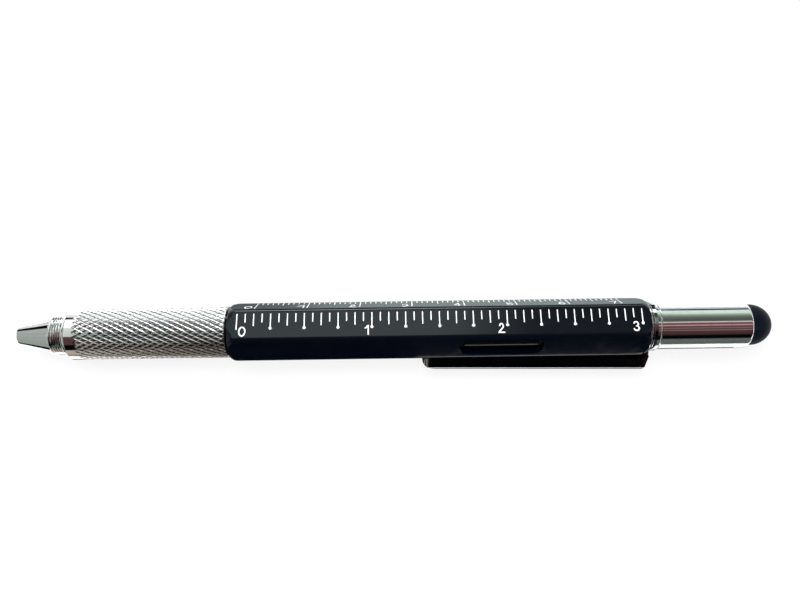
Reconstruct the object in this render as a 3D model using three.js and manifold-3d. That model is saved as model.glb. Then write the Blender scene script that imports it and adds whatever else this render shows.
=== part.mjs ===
import * as THREE from 'three';
import { mergeVertices } from 'three/addons/utils/BufferGeometryUtils.js';
import Module from 'manifold-3d';

// A multifunction pen: twist-action ballpoint, inch and metric rule, spirit level, stylus tip
// and a double-ended screwdriver bit under the cap. All sizes are in millimetres. The pen is
// drawn with its tip at the origin and its axis along +X, then rolled until it lies on the
// edge of its clip and one edge of the barrel.

const wasm = await Module();
wasm.setup();

// Segments round a turned piece
const visibleSegments = 40;
const innerSegments = 24;
const fineSegments = 16;
const ballSegments = 10;
const ballRings = 6;

// Straight lengths that stand for a curve
const sectionSteps = 6;
const windowSteps = 10;
const slotSteps = 8;
const helixSteps = 14;
const clipSideSteps = 5;
const clipEdgeSteps = 4;
const crownSteps = 4;
const rimSteps = 4;
const domeSteps = 5;

// Length by which a cutting tool runs past the piece that it cuts
const overrun = 1;

// Room past the barrel's corners, so that the crowns' lathe does not touch them between the ends
const clearOfEdge = 0.1;

// Fits, each the gap left on one side
const turningFit = 0.15;
const seatFit = 0.05;
const runningGap = 0.1;

// Nose cone
const tipRadius = 2.0;
const tipEdge = 0.2;
const coneLength = 6.7;
const coneBaseRadius = 3.55;
const collarRadius = 4.0;
const collarChamfer = 0.35;
const collarLength = 2.95;
const noseSpigotRadius = 3.2;
const noseSpigotLength = 4.6;
const noseWall = 0.8;

// Knurled grip
const gripLength = 31.0;
const gripRadius = 4.95;
const gripFrontRadius = 4.15;
const gripFrontLength = 0.75;
const gripBandLength = 2.6;
const knurlPitch = 1.9;
const knurlStarts = 32;
const knurlDepth = 0.35;
const knurlRearBand = 0.3;
const gripSpigotLength = 5.2;
const refillRoom = 1.2;

// Hexagonal barrel
const acrossFlats = 10.2;
const barrelEdgeRadius = 1.0;
const barrelBoreRadius = 3.75;
const barrelEndRadius = 4.95;
const crownLength = 2.2;
const barrelEdgeSteps = 4;

// Ink refill
const refillSetBack = 1.2;
const refillLength = 67;
const refillRadius = 1.175;
const refillWall = 0.22;
const refillConeLength = 2.8;
const refillTipLength = 5.4;
const refillTipFrontRadius = 0.55;
const ballRadius = 0.35;
const socketFit = 0.04;
const refillTravel = 5;

// Twist mechanism
const guideWall = 0.7;
const guideRearLength = 9.0;
const guideFlangeThickness = 1.2;
const camWall = 0.85;
const camSeatDepth = 6.0;
const camTailWall = 0.5;
const camTailLip = 0.7;
const snapRingThickness = 0.6;
const snapRingWidth = 1.0;
const snapRingGapAngle = Math.PI / 3;
const grooveDepth = 0.2;
const twistAngle = Math.PI;
const carrierSocketDepth = 7.2;
const lugRadius = 0.5;
const lugOffset = 1.7;
const carrierTail = 1.7;

// Spirit level
const vialRadius = 1.75;
const vialWall = 0.45;
const vialLength = 14.2;
const vialEndWall = 0.6;
const vialProud = 0.55;
const vialPlugLength = 1.2;
const windowSideGap = 0.225;
const windowEndGap = 0.9;
const saddleEndWall = 1.7;
const bubbleLength = 3.6;
const bubbleRadius = 0.75;
const mechanismBay = 3.6;
const holderBay = 3.0;

// Washer, clip ring and clip blade
const washerThickness = 0.4;
const washerInset = 0.1;
const clipSheet = 0.4;
const clipRingInset = 0.2;
const clipLength = 43.7;
const clipWidth = 5.0;
const clipRootHeight = 3.05;
const clipNoseHeight = 2.4;
const clipEdgeRadius = 0.9;
const clipNoseRadius = 1.8;
const clipFlangeGap = 0.65;
const clipTabRise = 0.2;
const clipTabInset = 0.4;
const clipLegLean = 0.65;
const clipHeelRadius = 0.75;
const clipNoseDrop = 0.2;
const clipNoseFront = 0.96;
const channelEndWeb = 0.4;
const channelBackWeb = 0.6;

// Bit holder and bit
const holderSpigotLength = 16.15;
const holderWeb = 3.8;
const flangeLength = 1.4;
const flangeInset = 0.2;
const flangeChamfer = 0.3;
const holderTailLength = 5.8;
const bitLength = 27;
const bitAcrossFlats = 4.0;
const bitShankRadius = 1.6;
const bitShankLength = 6.0;
const bitBladeThickness = 0.6;
const bitBladeLength = 4.4;
const crossTipRadius = 0.5;
const crossConeLength = 1.9;
const crossFlutes = 4;

// Cap and stylus
const capRadius = 4.5;
const capWall = 0.5;
const capEdge = 0.15;
const rimRadius = 0.4;
const insertWall = 0.4;
const insertLength = 6.0;
const bitClearance = 0.7;
const coreDiscLength = 1.6;
const stemWall = 1.0;
const rimDepth = 2.75;
const domeRise = 1.05;

// Directions round the axis, from +Y towards +Z, before the pen is rolled
const quarterTurn = Math.PI / 2;
const sixthTurn = Math.PI / 3;
const clipSide = quarterTurn + 2 * sixthTurn;
const levelSide = quarterTurn + sixthTurn;
const restingEdge = quarterTurn + 3.5 * sixthTurn;

// Radii that follow from the fits
const flatRadius = acrossFlats / 2;
const barrelCornerRadius = (flatRadius - barrelEdgeRadius) / Math.cos(Math.PI / 6) + barrelEdgeRadius;
const passageRadius = refillRadius + refillRoom;
const guideRadius = barrelBoreRadius - seatFit;
const guideBoreRadius = guideRadius - guideWall;
const camRadius = guideBoreRadius - turningFit;
const camBoreRadius = camRadius - camWall;
const camTailRadius = camBoreRadius + camTailWall;
const carrierRadius = camBoreRadius - turningFit;
const lugReach = guideRadius - turningFit;
const slotRadius = lugRadius + turningFit;
const spigotRadius = barrelBoreRadius - turningFit;
const capBoreRadius = capRadius - capWall;
const insertRadius = capBoreRadius - seatFit;
const holderTailRadius = insertRadius - insertWall - turningFit;
const domeRadius = capBoreRadius - seatFit;
const stemRadius = domeRadius - stemWall;
const vialAxisHeight = barrelBoreRadius + vialProud - vialRadius;

// Stations along the pen, measured from the tip
const gripStart = coneLength + collarLength;
const barrelStart = gripStart + gripLength;
const gripEnd = barrelStart - runningGap;
const refillEnd = refillSetBack + refillLength;
const lugStation = refillEnd + lugOffset;
const guideStart = barrelStart + gripSpigotLength + runningGap;
const guideEnd = lugStation + guideRearLength;
const camEnd = guideEnd + 2 * runningGap + snapRingThickness + camTailLip;
const saddleStart = camEnd + mechanismBay;
const saddleLength = vialLength + 2 * saddleEndWall;
const vialStart = saddleStart + saddleEndWall;
const holderStart = saddleStart + saddleLength + holderBay;
const barrelEnd = holderStart + holderSpigotLength;
const barrelLength = barrelEnd - barrelStart;
const ringStart = barrelEnd + washerThickness;
const flangeStart = ringStart + clipSheet;
const holderTailStart = flangeStart + flangeLength;
const capStart = holderTailStart + runningGap;
const bitStart = holderStart + holderWeb;
const coreStart = bitStart + bitLength + bitClearance;
const skirtStart = coreStart + coreDiscLength;
const capEnd = skirtStart + rimDepth;
const domeCentre = capEnd + domeRise;
const clipNose = flangeStart - clipLength;

// Heights of the clip over the pen's axis, at its root, its nose and the foot of its leg
const clipRootTop = flatRadius + clipRootHeight;
const clipNoseTop = flatRadius + clipNoseHeight;
const clipLegBottom = flatRadius + clipTabRise + runningGap;

const finishes = {
  chrome: new THREE.MeshStandardMaterial({ color: 0xd9dbdd, roughness: 0.1, metalness: 1 }),
  anodised: new THREE.MeshStandardMaterial({ color: 0x0b1118, roughness: 0.32, metalness: 0.5 }),
  blackNickel: new THREE.MeshStandardMaterial({ color: 0x0b0a0d, roughness: 0.14, metalness: 0.9 }),
  rubber: new THREE.MeshStandardMaterial({ color: 0x161b22, roughness: 0.75, metalness: 0 }),
  steel: new THREE.MeshStandardMaterial({ color: 0xa3a6aa, roughness: 0.35, metalness: 1 }),
  brass: new THREE.MeshStandardMaterial({ color: 0xc9a55a, roughness: 0.3, metalness: 1 }),
  blackPlastic: new THREE.MeshStandardMaterial({ color: 0x17181b, roughness: 0.5, metalness: 0 }),
  whitePlastic: new THREE.MeshStandardMaterial({ color: 0xdcdcd6, roughness: 0.5, metalness: 0 }),
  acrylic: new THREE.MeshStandardMaterial({ color: 0x1a2420, roughness: 0.05, metalness: 0 }),
  levelFluid: new THREE.MeshStandardMaterial({ color: 0x0e2416, roughness: 0.1, metalness: 0 }),
};

// Maps from the frames that the geometry classes draw in to the pen's frame
const axisY = new THREE.Vector3(0, 1, 0);
const axisZ = new THREE.Vector3(0, 0, 1);
const axisX = new THREE.Vector3(1, 0, 0);
const latheToPen = new THREE.Matrix4().makeBasis(axisZ, axisX, axisY);
const sectionToPen = new THREE.Matrix4().makeBasis(axisY, axisZ, axisX);
const sideToPen = new THREE.Matrix4().makeBasis(axisX, axisZ, new THREE.Vector3(0, -1, 0));

// The closed body inside a geometry, ready to be joined or cut
function bodyOf(geometry) {
  geometry.deleteAttribute('normal');
  geometry.deleteAttribute('uv');
  const merged = mergeVertices(geometry);
  const index = merged.index.array;
  const triVerts = [];
  for (let i = 0; i < index.length; i += 3) {
    const [a, b, c] = [index[i], index[i + 1], index[i + 2]];
    if (a !== b && b !== c && c !== a) {
      triVerts.push(a, b, c);
    }
  }
  return new wasm.Manifold(new wasm.Mesh({
    numProp: 3,
    vertProperties: new Float32Array(merged.attributes.position.array),
    triVerts: new Uint32Array(triVerts),
  }));
}

// A body turned about the X axis from corners given as [station, radius]
function turned(corners, segments = innerSegments) {
  const profile = corners.map(([station, radius]) => new THREE.Vector2(radius, station));
  const geometry = new THREE.LatheGeometry(profile, segments);
  return bodyOf(geometry.applyMatrix4(latheToPen));
}

// A solid rod, and a tube open at both ends
function rod(start, end, radius, segments = innerSegments) {
  return turned([[start, 0], [start, radius], [end, radius], [end, 0]], segments);
}

function tube(start, end, radius, bore, segments = innerSegments) {
  return turned([[start, bore], [start, radius], [end, radius], [end, bore], [start, bore]], segments);
}

// A section drawn across the pen as (y, z), run along X from start to end
function alongPen(shape, start, end, curveSegments = sectionSteps) {
  const geometry = new THREE.ExtrudeGeometry(shape, { depth: end - start, bevelEnabled: false, curveSegments });
  return geometry.applyMatrix4(sectionToPen).translate(start, 0, 0);
}

// A side view drawn as (x, z), given a width that is centred on the axis plane
function acrossPen(shape, width, curveSegments = sectionSteps) {
  const geometry = new THREE.ExtrudeGeometry(shape, { depth: width, bevelEnabled: false, curveSegments });
  return geometry.applyMatrix4(sideToPen).translate(0, width / 2, 0);
}

function polygon(corners) {
  return new THREE.Shape(corners.map(([u, v]) => new THREE.Vector2(u, v)));
}

// A regular hexagon with flats at top and bottom, its corners rounded
function hexagon(flat, edgeRadius, steps) {
  const centreDistance = (flat - edgeRadius) / Math.cos(Math.PI / 6);
  const corners = [];
  for (let side = 0; side < 6; side += 1) {
    const direction = side * sixthTurn;
    for (let step = 0; step <= steps; step += 1) {
      const angle = direction + (step / steps - 0.5) * sixthTurn;
      corners.push([
        centreDistance * Math.cos(direction) + edgeRadius * Math.cos(angle),
        centreDistance * Math.sin(direction) + edgeRadius * Math.sin(angle),
      ]);
    }
  }
  return polygon(corners);
}

function sharpHexagon(flat) {
  const radius = flat / Math.cos(Math.PI / 6);
  const corners = [];
  for (let side = 0; side < 6; side += 1) {
    corners.push([radius * Math.cos(side * sixthTurn), radius * Math.sin(side * sixthTurn)]);
  }
  return polygon(corners);
}

function named(name, body, finish) {
  const mesh = body.getMesh();
  const geometry = new THREE.BufferGeometry();
  geometry.setAttribute('position', new THREE.BufferAttribute(mesh.vertProperties, mesh.numProp));
  geometry.setIndex(new THREE.BufferAttribute(mesh.triVerts, 1));
  geometry.computeVertexNormals();
  const piece = new THREE.Mesh(geometry, finish);
  piece.name = name;
  return piece;
}

// Turned cone with a ringed collar that screws into the grip by its spigot
function noseCone() {
  const spigotEnd = gripStart + noseSpigotLength;
  const boreRadius = refillRadius + turningFit;
  const passage = noseSpigotRadius - noseWall;
  return turned([
    [0, boreRadius],
    [0, tipRadius - tipEdge],
    [tipEdge, tipRadius],
    [coneLength, coneBaseRadius],
    [coneLength + collarChamfer, collarRadius],
    [gripStart, collarRadius],
    [gripStart, noseSpigotRadius],
    [spigotEnd, noseSpigotRadius],
    [spigotEnd, passage],
    [coneLength, passage],
    [coneLength / 2, boreRadius],
    [0, boreRadius],
  ], visibleSegments);
}

// Diamond knurl: two families of helical grooves cross on a cylinder and leave pyramids
function knurledSkin(start, end) {
  const rows = 2 * Math.round((end - start) / knurlPitch);
  const columns = 2 * knurlStarts;
  const valleyRadius = gripRadius - knurlDepth;
  const positions = [];
  for (let row = 0; row <= rows; row += 1) {
    const station = start + ((end - start) * row) / rows;
    const atEnd = row === 0 || row === rows;
    for (let column = 0; column < columns; column += 1) {
      const angle = (2 * Math.PI * column) / columns;
      const onPeak = (row + column) % 2 === 0 && !atEnd;
      const radius = onPeak ? gripRadius : valleyRadius;
      positions.push(station, radius * Math.cos(angle), radius * Math.sin(angle));
    }
  }
  const vertex = (row, column) => row * columns + (column % columns);
  const index = [];
  for (let row = 0; row < rows; row += 1) {
    for (let column = 0; column < columns; column += 1) {
      const near = vertex(row, column);
      const nearNext = vertex(row, column + 1);
      const far = vertex(row + 1, column);
      const farNext = vertex(row + 1, column + 1);
      if ((row + column) % 2 === 0) {
        index.push(near, nearNext, far, farNext, far, nearNext);
      } else {
        index.push(near, nearNext, farNext, near, farNext, far);
      }
    }
  }
  const frontCentre = positions.length / 3;
  positions.push(start, 0, 0, end, 0, 0);
  for (let column = 0; column < columns; column += 1) {
    index.push(frontCentre, vertex(0, column + 1), vertex(0, column));
    index.push(frontCentre + 1, vertex(rows, column), vertex(rows, column + 1));
  }
  const geometry = new THREE.BufferGeometry();
  geometry.setAttribute('position', new THREE.Float32BufferAttribute(positions, 3));
  geometry.setIndex(index);
  return bodyOf(geometry);
}

// Knurled sleeve that turns the cam, with its spigot running in the barrel
function gripSleeve() {
  const knurlStart = gripStart + gripBandLength;
  const knurlEnd = gripEnd - knurlRearBand;
  const valleyRadius = gripRadius - knurlDepth;
  const shoulderStation = gripStart + gripFrontLength / 3;
  const shoulderRadius = (gripFrontRadius + 2 * gripRadius) / 3;
  const band = turned([
    [gripStart, 0],
    [gripStart, gripFrontRadius],
    [shoulderStation, shoulderRadius],
    [gripStart + gripFrontLength, gripRadius],
    [knurlStart, gripRadius],
    [knurlStart, 0],
  ], visibleSegments);
  const rear = turned([
    [knurlEnd - knurlPitch, 0],
    [knurlEnd - knurlPitch, spigotRadius],
    [knurlEnd - knurlRearBand, valleyRadius - knurlRearBand],
    [knurlEnd, valleyRadius],
    [gripEnd, valleyRadius],
    [gripEnd, spigotRadius],
    [barrelStart + gripSpigotLength, spigotRadius],
    [barrelStart + gripSpigotLength, 0],
  ], innerSegments);
  const noseBoreEnd = gripStart + noseSpigotLength + runningGap;
  const camSeatStart = gripEnd - camSeatDepth;
  const bore = turned([
    [gripStart - overrun, 0],
    [gripStart - overrun, noseSpigotRadius + turningFit],
    [noseBoreEnd, noseSpigotRadius + turningFit],
    [noseBoreEnd, passageRadius],
    [camSeatStart - runningGap, passageRadius],
    [camSeatStart - runningGap, camRadius + seatFit],
    [guideStart + overrun, camRadius + seatFit],
    [guideStart + overrun, 0],
  ], innerSegments);
  return knurledSkin(knurlStart - knurlRearBand, knurlEnd).add(band).add(rear).subtract(bore);
}

// Hexagonal tube whose ends are crowned on a lathe, with the level's window in one face
function barrel() {
  const prism = bodyOf(alongPen(hexagon(flatRadius, barrelEdgeRadius, barrelEdgeSteps), barrelStart, barrelEnd));
  const frontCrown = [];
  const rearCrown = [];
  for (let step = 0; step <= crownSteps; step += 1) {
    const angle = (quarterTurn * step) / crownSteps;
    const along = crownLength * (1 - Math.cos(angle));
    const rise = (barrelCornerRadius - barrelEndRadius) * Math.sin(angle);
    const radius = barrelEndRadius + rise + (step === crownSteps ? clearOfEdge : 0);
    frontCrown.push([barrelStart + along, radius]);
    rearCrown.unshift([barrelEnd - along, radius]);
  }
  const crowns = turned([
    [barrelStart, 0],
    ...frontCrown,
    ...rearCrown,
    [barrelEnd, 0],
  ], visibleSegments);
  const bore = rod(barrelStart - overrun, barrelEnd + overrun, barrelBoreRadius, visibleSegments);
  return prism.intersect(crowns).subtract(bore).subtract(levelWindow());
}

// Stadium opening over the vial, cut square to the level's face
function levelWindow() {
  const halfWidth = vialRadius + windowSideGap;
  const start = vialStart - windowEndGap + halfWidth;
  const end = vialStart + vialLength + windowEndGap - halfWidth;
  const shape = new THREE.Shape();
  shape.absarc(end, 0, halfWidth, -quarterTurn, quarterTurn, false);
  shape.absarc(start, 0, halfWidth, quarterTurn, 3 * quarterTurn, false);
  const geometry = new THREE.ExtrudeGeometry(shape, {
    depth: 2 * flatRadius,
    bevelEnabled: false,
    curveSegments: windowSteps,
  });
  geometry.translate(0, 0, vialAxisHeight);
  geometry.rotateX(levelSide - quarterTurn);
  return bodyOf(geometry);
}

// Clear tube closed at its front end; drawn on its own axis
function levelVial() {
  const end = vialStart + vialLength;
  return turned([
    [vialStart, 0],
    [vialStart, vialRadius],
    [end, vialRadius],
    [end, vialRadius - vialWall],
    [vialStart + vialEndWall, vialRadius - vialWall],
    [vialStart + vialEndWall, 0],
  ], innerSegments);
}

function levelPlug() {
  const end = vialStart + vialLength;
  return rod(end - vialPlugLength, end, vialRadius - vialWall - seatFit);
}

// Fluid with the bubble against the side that is uppermost as the pen lies
function levelFluid(upDirection) {
  const start = vialStart + vialEndWall + seatFit;
  const end = vialStart + vialLength - vialPlugLength - seatFit;
  const fluidRadius = vialRadius - vialWall - seatFit;
  const bubble = new THREE.SphereGeometry(1, fineSegments, fineSegments / 2);
  bubble.scale(bubbleLength / 2, bubbleRadius, bubbleRadius);
  bubble.translate((start + end) / 2, fluidRadius - bubbleRadius / 2, 0);
  bubble.rotateX(upDirection);
  return rod(start, end, fluidRadius).subtract(bodyOf(bubble));
}

// Plug in the bore with a trough that holds the vial under its window
function levelSaddle() {
  const radius = barrelBoreRadius - seatFit;
  const troughRadius = vialRadius + seatFit;
  const section = new THREE.Shape();
  section.absarc(0, vialAxisHeight, troughRadius, 2 * quarterTurn, 4 * quarterTurn, false);
  section.lineTo(troughRadius, 2 * flatRadius);
  section.lineTo(-troughRadius, 2 * flatRadius);
  const trough = bodyOf(alongPen(section, vialStart - seatFit, vialStart + vialLength + seatFit));
  return rod(saddleStart, saddleStart + saddleLength, radius).subtract(trough);
}

// Fixed tube pressed into the barrel: two straight slots guide the lugs of the refill carrier
function twistGuide() {
  const flangeStation = guideEnd - guideFlangeThickness;
  const body = turned([
    [guideStart, guideBoreRadius],
    [guideStart, guideRadius],
    [guideEnd, guideRadius],
    [guideEnd, camTailRadius + turningFit],
    [flangeStation, camTailRadius + turningFit],
    [flangeStation, guideBoreRadius],
    [guideStart, guideBoreRadius],
  ]);
  const slotShape = new THREE.Shape();
  slotShape.absarc(lugStation, 0, slotRadius, -quarterTurn, quarterTurn, false);
  slotShape.absarc(lugStation - refillTravel, 0, slotRadius, quarterTurn, 3 * quarterTurn, false);
  const slots = new THREE.ExtrudeGeometry(slotShape, {
    depth: 2 * barrelBoreRadius,
    bevelEnabled: false,
    curveSegments: slotSteps,
  });
  slots.translate(0, 0, -barrelBoreRadius);
  return body.subtract(bodyOf(slots));
}

// A helical ribbon through the cam's wall, with a round hole where the lug starts and stops
function camSlot(startAngle) {
  const slope = refillTravel / (twistAngle * camRadius);
  const halfWidth = slotRadius * Math.hypot(1, slope);
  const inner = camBoreRadius - lugRadius;
  const outer = camRadius + lugRadius;
  const positions = [];
  for (let step = 0; step <= helixSteps; step += 1) {
    const share = step / helixSteps;
    const angle = startAngle - twistAngle * share;
    const station = lugStation - refillTravel * share;
    for (const [radius, side] of [[inner, -1], [inner, 1], [outer, 1], [outer, -1]]) {
      positions.push(station + side * halfWidth, radius * Math.cos(angle), radius * Math.sin(angle));
    }
  }
  const index = [0, 1, 2, 0, 2, 3];
  for (let step = 0; step < helixSteps; step += 1) {
    for (let corner = 0; corner < 4; corner += 1) {
      const here = step * 4 + corner;
      const next = step * 4 + ((corner + 1) % 4);
      index.push(here, next + 4, next, here, here + 4, next + 4);
    }
  }
  const last = helixSteps * 4;
  index.push(last, last + 2, last + 1, last, last + 3, last + 2);
  const geometry = new THREE.BufferGeometry();
  geometry.setAttribute('position', new THREE.Float32BufferAttribute(positions, 3));
  geometry.setIndex(index);
  const startHole = radialPin(lugStation, startAngle, slotRadius, inner - lugRadius, outer + lugRadius);
  const endAngle = startAngle - twistAngle;
  const endHole = radialPin(lugStation - refillTravel, endAngle, slotRadius, inner - lugRadius, outer + lugRadius);
  return bodyOf(geometry).add(startHole).add(endHole);
}

// A round pin that stands out from the axis at one station
function radialPin(station, angle, radius, inner, outer) {
  const pin = new THREE.CylinderGeometry(radius, radius, outer - inner, fineSegments);
  pin.translate(0, (inner + outer) / 2, 0);
  pin.rotateX(angle);
  pin.translate(station, 0, 0);
  return bodyOf(pin);
}

// Tube seated in the grip: half a turn of its two helical slots drives the lugs forward
function twistCam() {
  const shoulder = guideEnd - guideFlangeThickness - runningGap;
  const grooveStart = guideEnd + runningGap;
  const grooveEnd = grooveStart + snapRingThickness + runningGap;
  const grooveRadius = camTailRadius - grooveDepth;
  const start = gripEnd - camSeatDepth;
  const body = turned([
    [start, camBoreRadius],
    [start, camRadius],
    [shoulder, camRadius],
    [shoulder, camTailRadius],
    [grooveStart, camTailRadius],
    [grooveStart, grooveRadius],
    [grooveEnd, grooveRadius],
    [grooveEnd, camTailRadius],
    [camEnd, camTailRadius],
    [camEnd, camBoreRadius],
    [start, camBoreRadius],
  ]);
  return body.subtract(camSlot(quarterTurn)).subtract(camSlot(-quarterTurn));
}

// Split ring that holds the cam's tail behind the guide's flange
function camSnapRing() {
  const start = guideEnd + runningGap + runningGap / 2;
  const bore = camTailRadius - grooveDepth + seatFit;
  const ring = tube(start, start + snapRingThickness - runningGap / 2, bore + snapRingWidth, bore);
  const reach = 2 * (bore + snapRingWidth);
  const split = polygon([
    [0, 0],
    [reach * Math.cos(snapRingGapAngle / 2), reach * Math.sin(snapRingGapAngle / 2)],
    [reach * Math.cos(snapRingGapAngle / 2), -reach * Math.sin(snapRingGapAngle / 2)],
  ]);
  return ring.subtract(bodyOf(alongPen(split, start - overrun, start + snapRingThickness + overrun)));
}

// Plunger that grips the refill's rear end, with one lug through each pair of slots
function refillCarrier() {
  const start = refillEnd - carrierSocketDepth;
  const end = lugStation + carrierTail;
  const bore = refillRadius + seatFit;
  const body = turned([
    [start, bore],
    [start, carrierRadius],
    [end, carrierRadius],
    [end, 0],
    [refillEnd + seatFit, 0],
    [refillEnd + seatFit, bore],
    [start, bore],
  ], innerSegments);
  const upperLug = radialPin(lugStation, quarterTurn, lugRadius, lugRadius, lugReach);
  const lowerLug = radialPin(lugStation, -quarterTurn, lugRadius, lugRadius, lugReach);
  return body.add(upperLug).add(lowerLug);
}

function refillTube() {
  return tube(refillSetBack + refillConeLength, refillEnd, refillRadius, refillRadius - refillWall, fineSegments);
}

// Cone and shank of the writing tip, with a socket for the ball
function refillTip() {
  const front = refillSetBack + ballRadius;
  const coneEnd = refillSetBack + refillConeLength - runningGap;
  const shankRadius = refillRadius - refillWall - seatFit;
  const socketRadius = ballRadius + socketFit;
  const socketEnd = refillSetBack + 2 * ballRadius + socketFit;
  return turned([
    [front, socketRadius],
    [front, refillTipFrontRadius],
    [coneEnd, refillRadius],
    [coneEnd, shankRadius],
    [refillSetBack + refillTipLength, shankRadius],
    [refillSetBack + refillTipLength, 0],
    [socketEnd, 0],
    [socketEnd, socketRadius],
    [front, socketRadius],
  ], fineSegments);
}

function refillBall() {
  const ball = new THREE.SphereGeometry(ballRadius, ballSegments, ballRings);
  return bodyOf(ball.translate(refillSetBack + ballRadius, 0, 0));
}

function trimWasher() {
  return tube(barrelEnd, ringStart, barrelEndRadius - washerInset, barrelBoreRadius, visibleSegments);
}

// Ring clamped against the barrel's end, with the tab that the clip blade bends up from
function clipRing() {
  const radius = barrelEndRadius - clipRingInset;
  const halfTab = clipWidth / 2 - clipTabInset;
  const tabTop = flatRadius + clipTabRise;
  const tab = polygon([[-halfTab, 0], [halfTab, 0], [halfTab, tabTop], [-halfTab, tabTop]]);
  const plate = rod(ringStart, flangeStart, radius, visibleSegments);
  const hole = rod(ringStart - overrun, flangeStart + overrun, barrelBoreRadius, visibleSegments);
  return plate.add(bodyOf(alongPen(tab, ringStart, flangeStart))).subtract(hole);
}

// Height of the blade's outer face at a station, less an inset
function bladeHeight(station, inset = 0) {
  const share = (station - clipNose) / clipLength;
  return clipNoseTop + (clipRootTop - clipNoseTop) * share - inset;
}

// Side view of the blade with its flanges, from the leg over the back to the nose
function bladeOutline() {
  const flange = flatRadius + clipFlangeGap;
  const legTop = clipRootTop - clipHeelRadius;
  const lean = clipLegLean / (legTop - clipLegBottom);
  const bend = flangeStart - clipLegLean - lean * clipHeelRadius;
  const heel = bend - clipHeelRadius;
  const shape = new THREE.Shape();
  shape.moveTo(flangeStart, clipLegBottom);
  shape.lineTo(flangeStart - clipLegLean, legTop);
  shape.quadraticCurveTo(bend, bladeHeight(bend), heel, bladeHeight(heel));
  shape.lineTo(clipNose + 2 * clipNoseRadius, bladeHeight(clipNose + 2 * clipNoseRadius));
  shape.quadraticCurveTo(clipNose, clipNoseTop - clipNoseDrop, clipNose, flatRadius + clipNoseFront);
  shape.quadraticCurveTo(clipNose, flatRadius + runningGap, clipNose + clipNoseRadius, flatRadius + runningGap);
  shape.lineTo(clipNose + 2 * clipNoseRadius, flange);
  shape.lineTo(heel, flange);
  shape.lineTo(flangeStart - clipSheet, clipLegBottom);
  return shape;
}

// Stamped channel: rounded back, two side flanges, a closed nose that rests near the barrel
function clipBlade() {
  const start = clipNose + clipNoseRadius + clipSheet;
  const end = flangeStart - clipLegLean - channelEndWeb;
  const channel = polygon([
    [start, 0],
    [end + clipSheet, 0],
    [end + clipSheet, clipLegBottom + clipSheet],
    [end, bladeHeight(end, channelBackWeb)],
    [start, bladeHeight(start, clipSheet)],
  ]);
  const plan = new THREE.Shape();
  plan.moveTo(flangeStart + overrun, clipWidth / 2);
  plan.lineTo(clipNose + clipNoseRadius, clipWidth / 2);
  plan.quadraticCurveTo(clipNose, clipWidth / 2, clipNose, 0);
  plan.quadraticCurveTo(clipNose, -clipWidth / 2, clipNose + clipNoseRadius, -clipWidth / 2);
  plan.lineTo(flangeStart + overrun, -clipWidth / 2);
  const planPrism = new THREE.ExtrudeGeometry(plan, {
    depth: 2 * clipRootTop,
    bevelEnabled: false,
    curveSegments: clipSideSteps,
  });
  const blade = bodyOf(acrossPen(bladeOutline(), clipWidth, clipSideSteps)).intersect(bodyOf(planPrism));
  const inside = bodyOf(acrossPen(channel, clipWidth - 2 * clipSheet));
  return blade.intersect(roundedBack()).subtract(inside);
}

// Prism along the sloping back, its two top edges rounded
function roundedBack() {
  const half = clipWidth / 2;
  const flatHalf = half - clipEdgeRadius;
  const shape = new THREE.Shape();
  shape.moveTo(-half, -2 * clipRootTop);
  shape.lineTo(half, -2 * clipRootTop);
  shape.lineTo(half, -clipEdgeRadius);
  shape.absarc(flatHalf, -clipEdgeRadius, clipEdgeRadius, 0, quarterTurn, false);
  shape.absarc(-flatHalf, -clipEdgeRadius, clipEdgeRadius, quarterTurn, 2 * quarterTurn, false);
  const geometry = alongPen(shape, -overrun, clipLength + overrun, clipEdgeSteps);
  geometry.rotateY(-Math.atan2(clipRootTop - clipNoseTop, clipLength));
  return bodyOf(geometry.translate(clipNose, 0, clipNoseTop));
}

// Turned holder: spigot in the barrel, flange over the clip ring, tail for the cap, hex socket
function bitHolder() {
  const tailEnd = holderTailStart + holderTailLength;
  const flangeRadius = barrelEndRadius - flangeInset;
  const body = turned([
    [holderStart, 0],
    [holderStart, spigotRadius],
    [flangeStart, spigotRadius],
    [flangeStart, flangeRadius],
    [holderTailStart - flangeChamfer, flangeRadius],
    [holderTailStart, flangeRadius - flangeChamfer],
    [holderTailStart, holderTailRadius],
    [tailEnd, holderTailRadius],
    [tailEnd, 0],
  ], visibleSegments);
  const socketFlat = bitAcrossFlats / 2 + turningFit;
  const socket = bodyOf(alongPen(sharpHexagon(socketFlat), bitStart - runningGap, tailEnd + overrun));
  return body.subtract(socket);
}

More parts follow.
